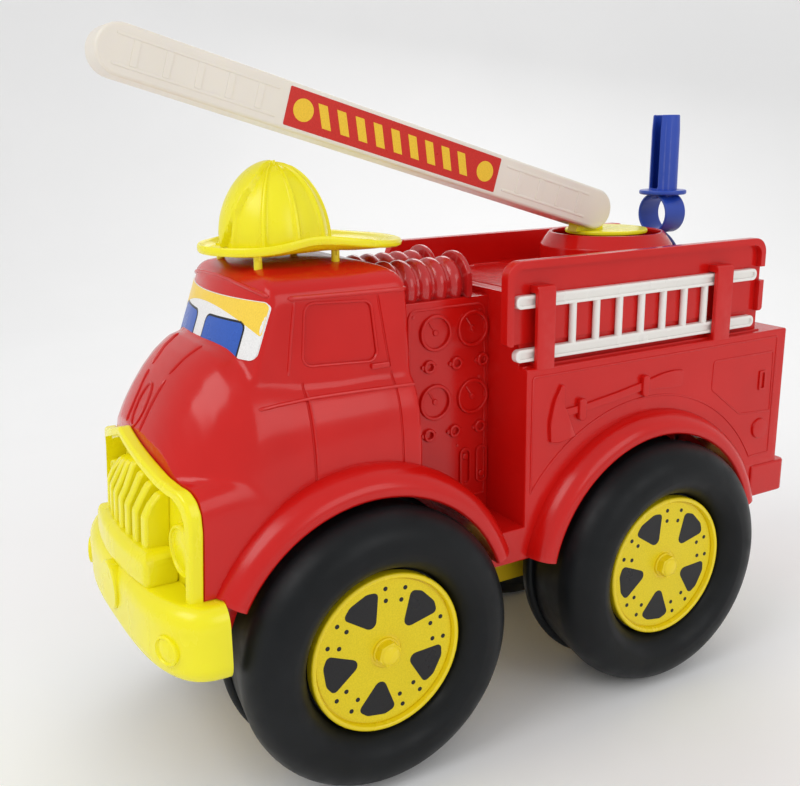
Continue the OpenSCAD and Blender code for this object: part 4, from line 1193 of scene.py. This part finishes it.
def add_turntable():
    low, high = 371, 374.5
    disc = rod(36, low, high, "z", TABLE_AT, 128, [0, 0.8, 1.4, 0], 5)
    drum = rod(20, 363.3, 372, "z", TABLE_AT, 96)
    spindle = rod(8, DECK_Z - 3.4, 372, "z", TABLE_AT, 64, [0, 0.6, 0, 0], 2)
    y, z = PIVOT.y, PIVOT.z
    lug = rounded([(y - 16, high - 1), (y + 16, high - 1), (y + 9, z + 2), (y + 6, z + 8.6), (y - 6, z + 8.6),
                   (y - 9, z + 2)], [0, 0, 3, 6, 6, 3], 5)
    bore = rod(3.02, -25, 25, "x", (0, y, z), 40)
    screw = rod(1.5, DECK_Z - 10, DECK_Z + 16, "z", TABLE_AT)
    form = cut(union(disc, drum, spindle, slab(lug, -6, 6, "x", 0.7)), bore, screw)
    piece("turntable_form", form, [YELLOW], "table", ["turntable"], 40)


BOOM_L = 436
BOOM_D = 34
BOOM_HALF = 14
BOOM_REST = 16.8
LABEL = (111, 301)


def at_boom(mesh):
    """A form drawn with the pivot at the origin and the tip along -Y, raised to the resting angle."""
    turn = Matrix.Rotation(math.radians(-BOOM_REST), 4, "X")
    return moved(mesh, Matrix.Translation(PIVOT * MM) @ turn)


def boom_outline(inset):
    r = BOOM_D / 2 - inset
    far = -(BOOM_L - BOOM_D / 2)
    return arc((0, 0), r, -90, 90, 18) + arc((far, 0), r, 90, 270, 18)


def add_boom():
    body = slab(boom_outline(0), -BOOM_HALF, BOOM_HALF, "x", 2.6, 4)
    hollow = slab(rectangle(-BOOM_L + 22, -24, -BOOM_D / 2 + 2.5, BOOM_D / 2 - 2.5), -11.5, 11.5, "x")
    slots = [block((-6.4, -14, -30), (6.4, 30, 12)), block((-6.4, -24.1, -30), (6.4, -13, 4))]
    form = cut(body, hollow, *slots, rod(3.06, -12.2, 12.2, "x", steps=40))
    root, top = BOOM_HALF - 1, BOOM_HALF + 0.45
    relief = []
    for y in (-22, -44, -66, -88, -322, -344, -366, -388, -410):
        relief.append(pad(y - 2.4, y + 2.4, -8.6, 8.6, 0.8, root, top, "x", 0.3, 3, 2))
    for z in (-9.6, 9.6):
        for y0, y1 in ((-104, -12), (-424, -308)):
            relief.append(pad(y0, y1, z - 1.0, z + 1.0, 0.8, root, top, "x", 0.3, 2, 2))
    form = union(form, *both(*relief))
    piece("aerial_boom_form", at_boom(form), [IVORY], "boom", ["aerial_boom"], 40)
    for side, strip in (("left", label_strip()), ("right", mirrored(label_strip()))):
        piece(f"boom_label_{side}_form", at_boom(strip), [INK_RED, INK_GOLD], "boom", [f"boom_label_{side}"],
              30)


def label_strip():
    """Printed strip: red with a plain disc at each end and a row of slanted bars between."""
    face = BOOM_HALF
    start, end = LABEL
    half = 13.6
    parts = [painted(pad(-end, -start, -half, half, 1, face - 0.3, face + 0.2, corner=3), 0)]
    shapes = [oval((-start - 13, 0), 8, 36), oval((-end + 13, 0), 8, 36)]
    first, pitch, lean, width = start + 28.5, 15.5, 7, 7.5
    for i in range(9):
        y = -(first + pitch * i)
        shapes.append([(y, -8), (y - width, -8), (y - width - lean, 8), (y - lean, 8)])
    parts += [painted(slab(shape, face, face + 0.34, "x"), 1) for shape in shapes]
    return join(*parts)


# ---------- side ladders ----------

def add_ladders():
    inner, outer = RECESS_X + 0.4, RECESS_X + 6.8
    middle = (inner + outer) / 2
    parts = []
    for top in RAIL_TOPS:
        low = top - RAIL_H
        rail = pad(-8, 252, low, top, 4.4, inner, outer, "x", 0.9, 3, 8)
        channel = pad(-5.4, 249.4, low + 2.6, top - 2.6, 2.3, outer - 1.8, outer + 2, corner=6)
        parts.append(cut(rail, channel))
    for i in range(9):
        rung = oval((middle, 24.5 + 23.9 * i), (3.045, 2.9), 20)
        parts.append(slab(rung, RAIL_TOPS[1] - 1.5, RAIL_TOPS[0] - RAIL_H + 1.5, "z"))
    ladder = union(parts[0], *parts[1:])
    for side, mesh in (("left", ladder), ("right", mirrored(ladder))):
        piece(f"side_ladder_{side}_form", mesh, [WHITE], f"ladder_{side}", [f"side_ladder_{side}"],
              40)


# ---------- helmet ----------

BRIM_Z = 379
DOME_R = 38.5
DOME_H = 58
DOME_FOOT = 383
HELMET_STEPS = 240
RIBS = 10


def brim_edge(angle):
    """How far the brim reaches in a direction, with 90 degrees behind."""
    c, s = math.cos(angle), math.sin(angle)
    if s > 0:
        return Vector((51.5 * c * (1 - 0.28 * s * s), 98.5 * s)).length
    return Vector((51.5 * c, 57.8 * s)).length


def brim_height(angle, out):
    """Rise of the brim: it arches up over each side and dips at both ends."""
    degrees = math.degrees(math.atan2(math.sin(angle), abs(math.cos(angle))))
    rise = 7.0 * math.exp(-((degrees - 13) / 32) ** 2)
    return out * (rise - 1.8 * max(0, math.sin(angle)) ** 2) + (1 - out) * 3.5


def dome_ring(share, inset, ribs):
    """One level ring of the dome; share 0 is its foot and 1 its top."""
    a = math.radians(90 * share)
    power = 1.95
    r0 = (DOME_R - inset) * math.cos(a) ** (2 / power)
    z = DOME_FOOT + (DOME_H - 1.2 - inset) * math.sin(a) ** (2 / power)
    ring = []
    for i in range(HELMET_STEPS):
        angle = 2 * math.pi * i / HELMET_STEPS
        phase = (angle * RIBS / (2 * math.pi) + 0.5) % 1 - 0.5
        relief = 2.8 * math.exp(-(phase / 0.075) ** 4) * min(1, r0 / 12)
        aside = abs(r0 * math.cos(angle))
        if math.sin(angle) < 0:
            relief = max(relief, 4.6 * step_up(shield_width(share) - aside, 1.4))
        relief = max(relief, 2.4 * step_up(3.2 - aside, 1.4) * step_up(share - 0.55, 0.2)) * ribs
        r = r0 + relief * (1 - 0.45 * share)
        ring.append((r * math.cos(angle), HELMET_Y + r * math.sin(angle), z + relief * 0.6 * share))
    return ring


def step_up(value, width):
    """Soft step from 0 to 1 around zero."""
    t = min(1, max(0, value / width + 0.5))
    return t * t * (3 - 2 * t)


def shield_width(share):
    """Half width of the plain front shield up the dome: a point below, a broad middle, a narrower top."""
    outline = [(0.0, 1), (0.12, 7), (0.3, 12.5), (0.5, 14), (0.66, 12), (0.8, 7), (0.9, 4), (1.0, 3)]
    for (s0, w0), (s1, w1) in zip(outline, outline[1:]):
        if share <= s1:
            return w0 + (w1 - w0) * (share - s0) / (s1 - s0)
    return outline[-1][1]


def brim_ring(out, height):
    """One ring of the brim; out goes from 0 at the dome to 1 at the edge."""
    ring = []
    for i in range(HELMET_STEPS):
        angle = 2 * math.pi * i / HELMET_STEPS
        r = DOME_R + 1.5 + (brim_edge(angle) - DOME_R - 1.5) * out
        ring.append((r * math.cos(angle), HELMET_Y + r * math.sin(angle),
                     BRIM_Z + height + brim_height(angle, max(out, 0))))
    return ring


def add_helmet():
    brim = [(0.0, -0.2), (0.12, -0.8), (0.5, -0.2), (0.74, 1.8), (0.82, 4.0), (0.88, 5.4), (0.94, 5.9),
            (0.98, 5.2), (1.0, 3.2), (0.99, 1.2), (0.95, 0), (0.86, -0.2), (0.74, -1.2), (0.5, -2.8),
            (0.0, -3.2), (-0.1, -3.2)]
    rings = [dome_ring(1 - i / 32, 0, 1) for i in range(1, 33)]
    rings += [brim_ring(out, height) for out, height in brim]
    rings += [dome_ring(share, 2.5, 0) for share in (0.0, 0.15, 0.3, 0.45, 0.6, 0.75, 0.9, 0.985)]
    pegs = []
    for x, y in HELMET_PEGS:
        top = BRIM_Z + (3 if y < HELMET_Y else 6)
        pegs.append(rod(3, 364, top, "z", (x, y, 0), 28, [0, 0.8, 0, 0], 3))
        pegs.append(block((x - 4.6, y - 1.2, 376), (x + 4.6, y + 1.2, top), 0.3, 1))
    piece("helmet_form", union(skin(rings), *pegs), [YELLOW], "hat", ["helmet"], 44)


# ---------- nozzle ----------

def add_nozzle():
    loop_z, flange_z, top = 384, 405, 471
    centre = (0, NOZZLE_Y, 0)
    loop = lathe(rectangle(15.6, 18, -12, 12), 0.9, "y", (0, NOZZLE_Y, loop_z), 96, 3)
    slots = [pad(x - 1.6, x + 1.6, NOZZLE_Y - 4, NOZZLE_Y + 4, 1.5, loop_z + 8, loop_z + 30, "z")
             for x in (-8.6, 8.6)]
    flange = rod(21, flange_z - 4, flange_z, "z", centre, 96, [0, 1.4, 1.4, 0])
    wall = [(9.8, flange_z - 1), (12.6, flange_z - 1), (12.3, top - 14), (11.6, top), (9.2, top),
            (9.8, top - 12)]
    barrel = lathe(wall, [0, 0, 14, 1, 0.8, 10], "z", centre, 80)
    slit = pad(-5, 5, flange_z + 1.5, top + 12, 1.6, NOZZLE_Y - 20, NOZZLE_Y, "y")
    spine = block((-0.9, NOZZLE_Y + 4, flange_z - 1), (0.9, NOZZLE_Y + 11, top - 6), 0.4)
    arrow = [(-2.6, flange_z + 24), (2.6, flange_z + 24), (0, flange_z + 31)]
    nib = slab(arrow, NOZZLE_Y + 3, NOZZLE_Y + 11, "y", 0.3, 1)
    form = union(cut(barrel, slit), cut(loop, *slots), flange, spine, nib)
    piece("hose_nozzle_form", form, [BLUE], "nozzle", ["hose_nozzle"], 40)
    add_arm(loop_z)


def add_arm(loop_z):
    """Stiff bowed arm from the loop down to its foot, and the foot's plug."""
    start = Vector((0, NOZZLE_Y, loop_z - 17))
    end = Vector((0, NOZZLE_FOOT_Y, DECK_Z + 4.5))
    points = []
    for i in range(17):
        t = i / 16
        points.append(start.lerp(end, t) + Vector((0, 1.6, 1.4)) * math.sin(math.pi * t))
    piece("nozzle_arm_form", tube(points, 2.5, sides=20), [DARK_BLUE], "nozzle", ["nozzle_arm"],
          50)
    base = DECK_Z - WALL
    plug = [(0, base), (4, base), (4, base + 7.3), (6, base + 7.3), (5.6, base + 9.3), (0, base + 9.3)]
    foot = lathe(plug, [0, 0.6, 0, 0.4, 0.8, 0], "z", FOOT_AT, 40, 3)
    piece("nozzle_foot_form", foot, [DARK_BLUE], "nozzle", ["nozzle_foot"], 40)


# ---------- CAD nodes that are shown as they are ----------

def dress_cad_nodes():
    """Finishes for the chassis, in the yellow darkened to amber as painted shade, and for the steel parts,
    which are shown as the CAD made them.
    """
    kept = {"chassis": CHASSIS_YELLOW_SHADED}
    for name in ("front_axle", "rear_axle", "axle_push_nuts", "body_screws", "turntable_washer",
                 "turntable_screw", "boom_pivot_pin"):
        kept[name] = STEEL
    for name, material in kept.items():
        slots = frame["nodes"][name].data.materials
        slots.clear()
        slots.append(material)


add_wheels()
add_cab()
add_grille()
add_rear_body()
add_reels()
add_turntable()
add_boom()
add_ladders()
add_helmet()
add_nozzle()
dress_cad_nodes()


# ---------- floor and light ----------

def pale_floor(name):
    material, tree, shader = new_material(name)
    tone = spread(tree, noise(tree, 3, 4), 0, 1)
    tree.links.new(blended(tree, tone, (0.95, 0.95, 0.95), (0.97, 0.97, 0.97)), shader.inputs["Base Color"])
    tree.links.new(spread(tree, noise(tree, 50, 3), 0.6, 0.8), shader.inputs["Roughness"])
    return material


def add_floor():
    """A pale sweep: level ground that curves up well behind the truck."""
    half, reach, rise = 6000, 5000, 3200
    profile = [(-reach, 0), (1500, 0)] + arc((1500, 1400), 1400, -90, 0, 16) + [(2900, rise)]
    bm = bmesh.new()
    turn = Matrix.Rotation(CAMERA_YAW, 4, "Z")
    rows = [[bm.verts.new(turn @ (Vector((x, y, z)) * MM)) for y, z in profile] for x in (-half, half)]
    for i in range(len(profile) - 1):
        bm.faces.new((rows[0][i], rows[1][i], rows[1][i + 1], rows[0][i + 1]))
    mesh = as_mesh(bm)
    mesh.shade_smooth()
    mesh.materials.append(pale_floor("floor"))
    floor = bpy.data.objects.new("floor", mesh)
    bpy.context.collection.objects.link(floor)


def add_light(name, at, power, size):
    data = bpy.data.lights.new(name, "AREA")
    data.shape = "RECTANGLE"
    data.size, data.size_y = size
    data.energy = power
    light = bpy.data.objects.new(name, data)
    bpy.context.collection.objects.link(light)
    light.location = at
    aim = Vector((0, 0, 0.22)) - Vector(at)
    light.rotation_euler = aim.to_track_quat("-Z", "Y").to_euler()


def add_lights():
    """A soft key from the front, two fills and an even white sky."""
    add_light("key", (0.2, -1.7, 1.9), 15, (1.5, 1.1))
    add_light("side", (2.1, 0.6, 1.2), 8, (1.4, 1.2))
    add_light("rear", (-1.6, 1.4, 1.6), 10, (1.5, 1.0))
    world = bpy.data.worlds.new("studio")
    world.use_nodes = True
    background = world.node_tree.nodes["Background"]
    background.inputs["Color"].default_value = (1, 1, 1, 1)
    background.inputs["Strength"].default_value = 0.68
    bpy.context.scene.world = world
    bpy.context.scene.view_settings.view_transform = "Standard"


add_floor()
add_lights()
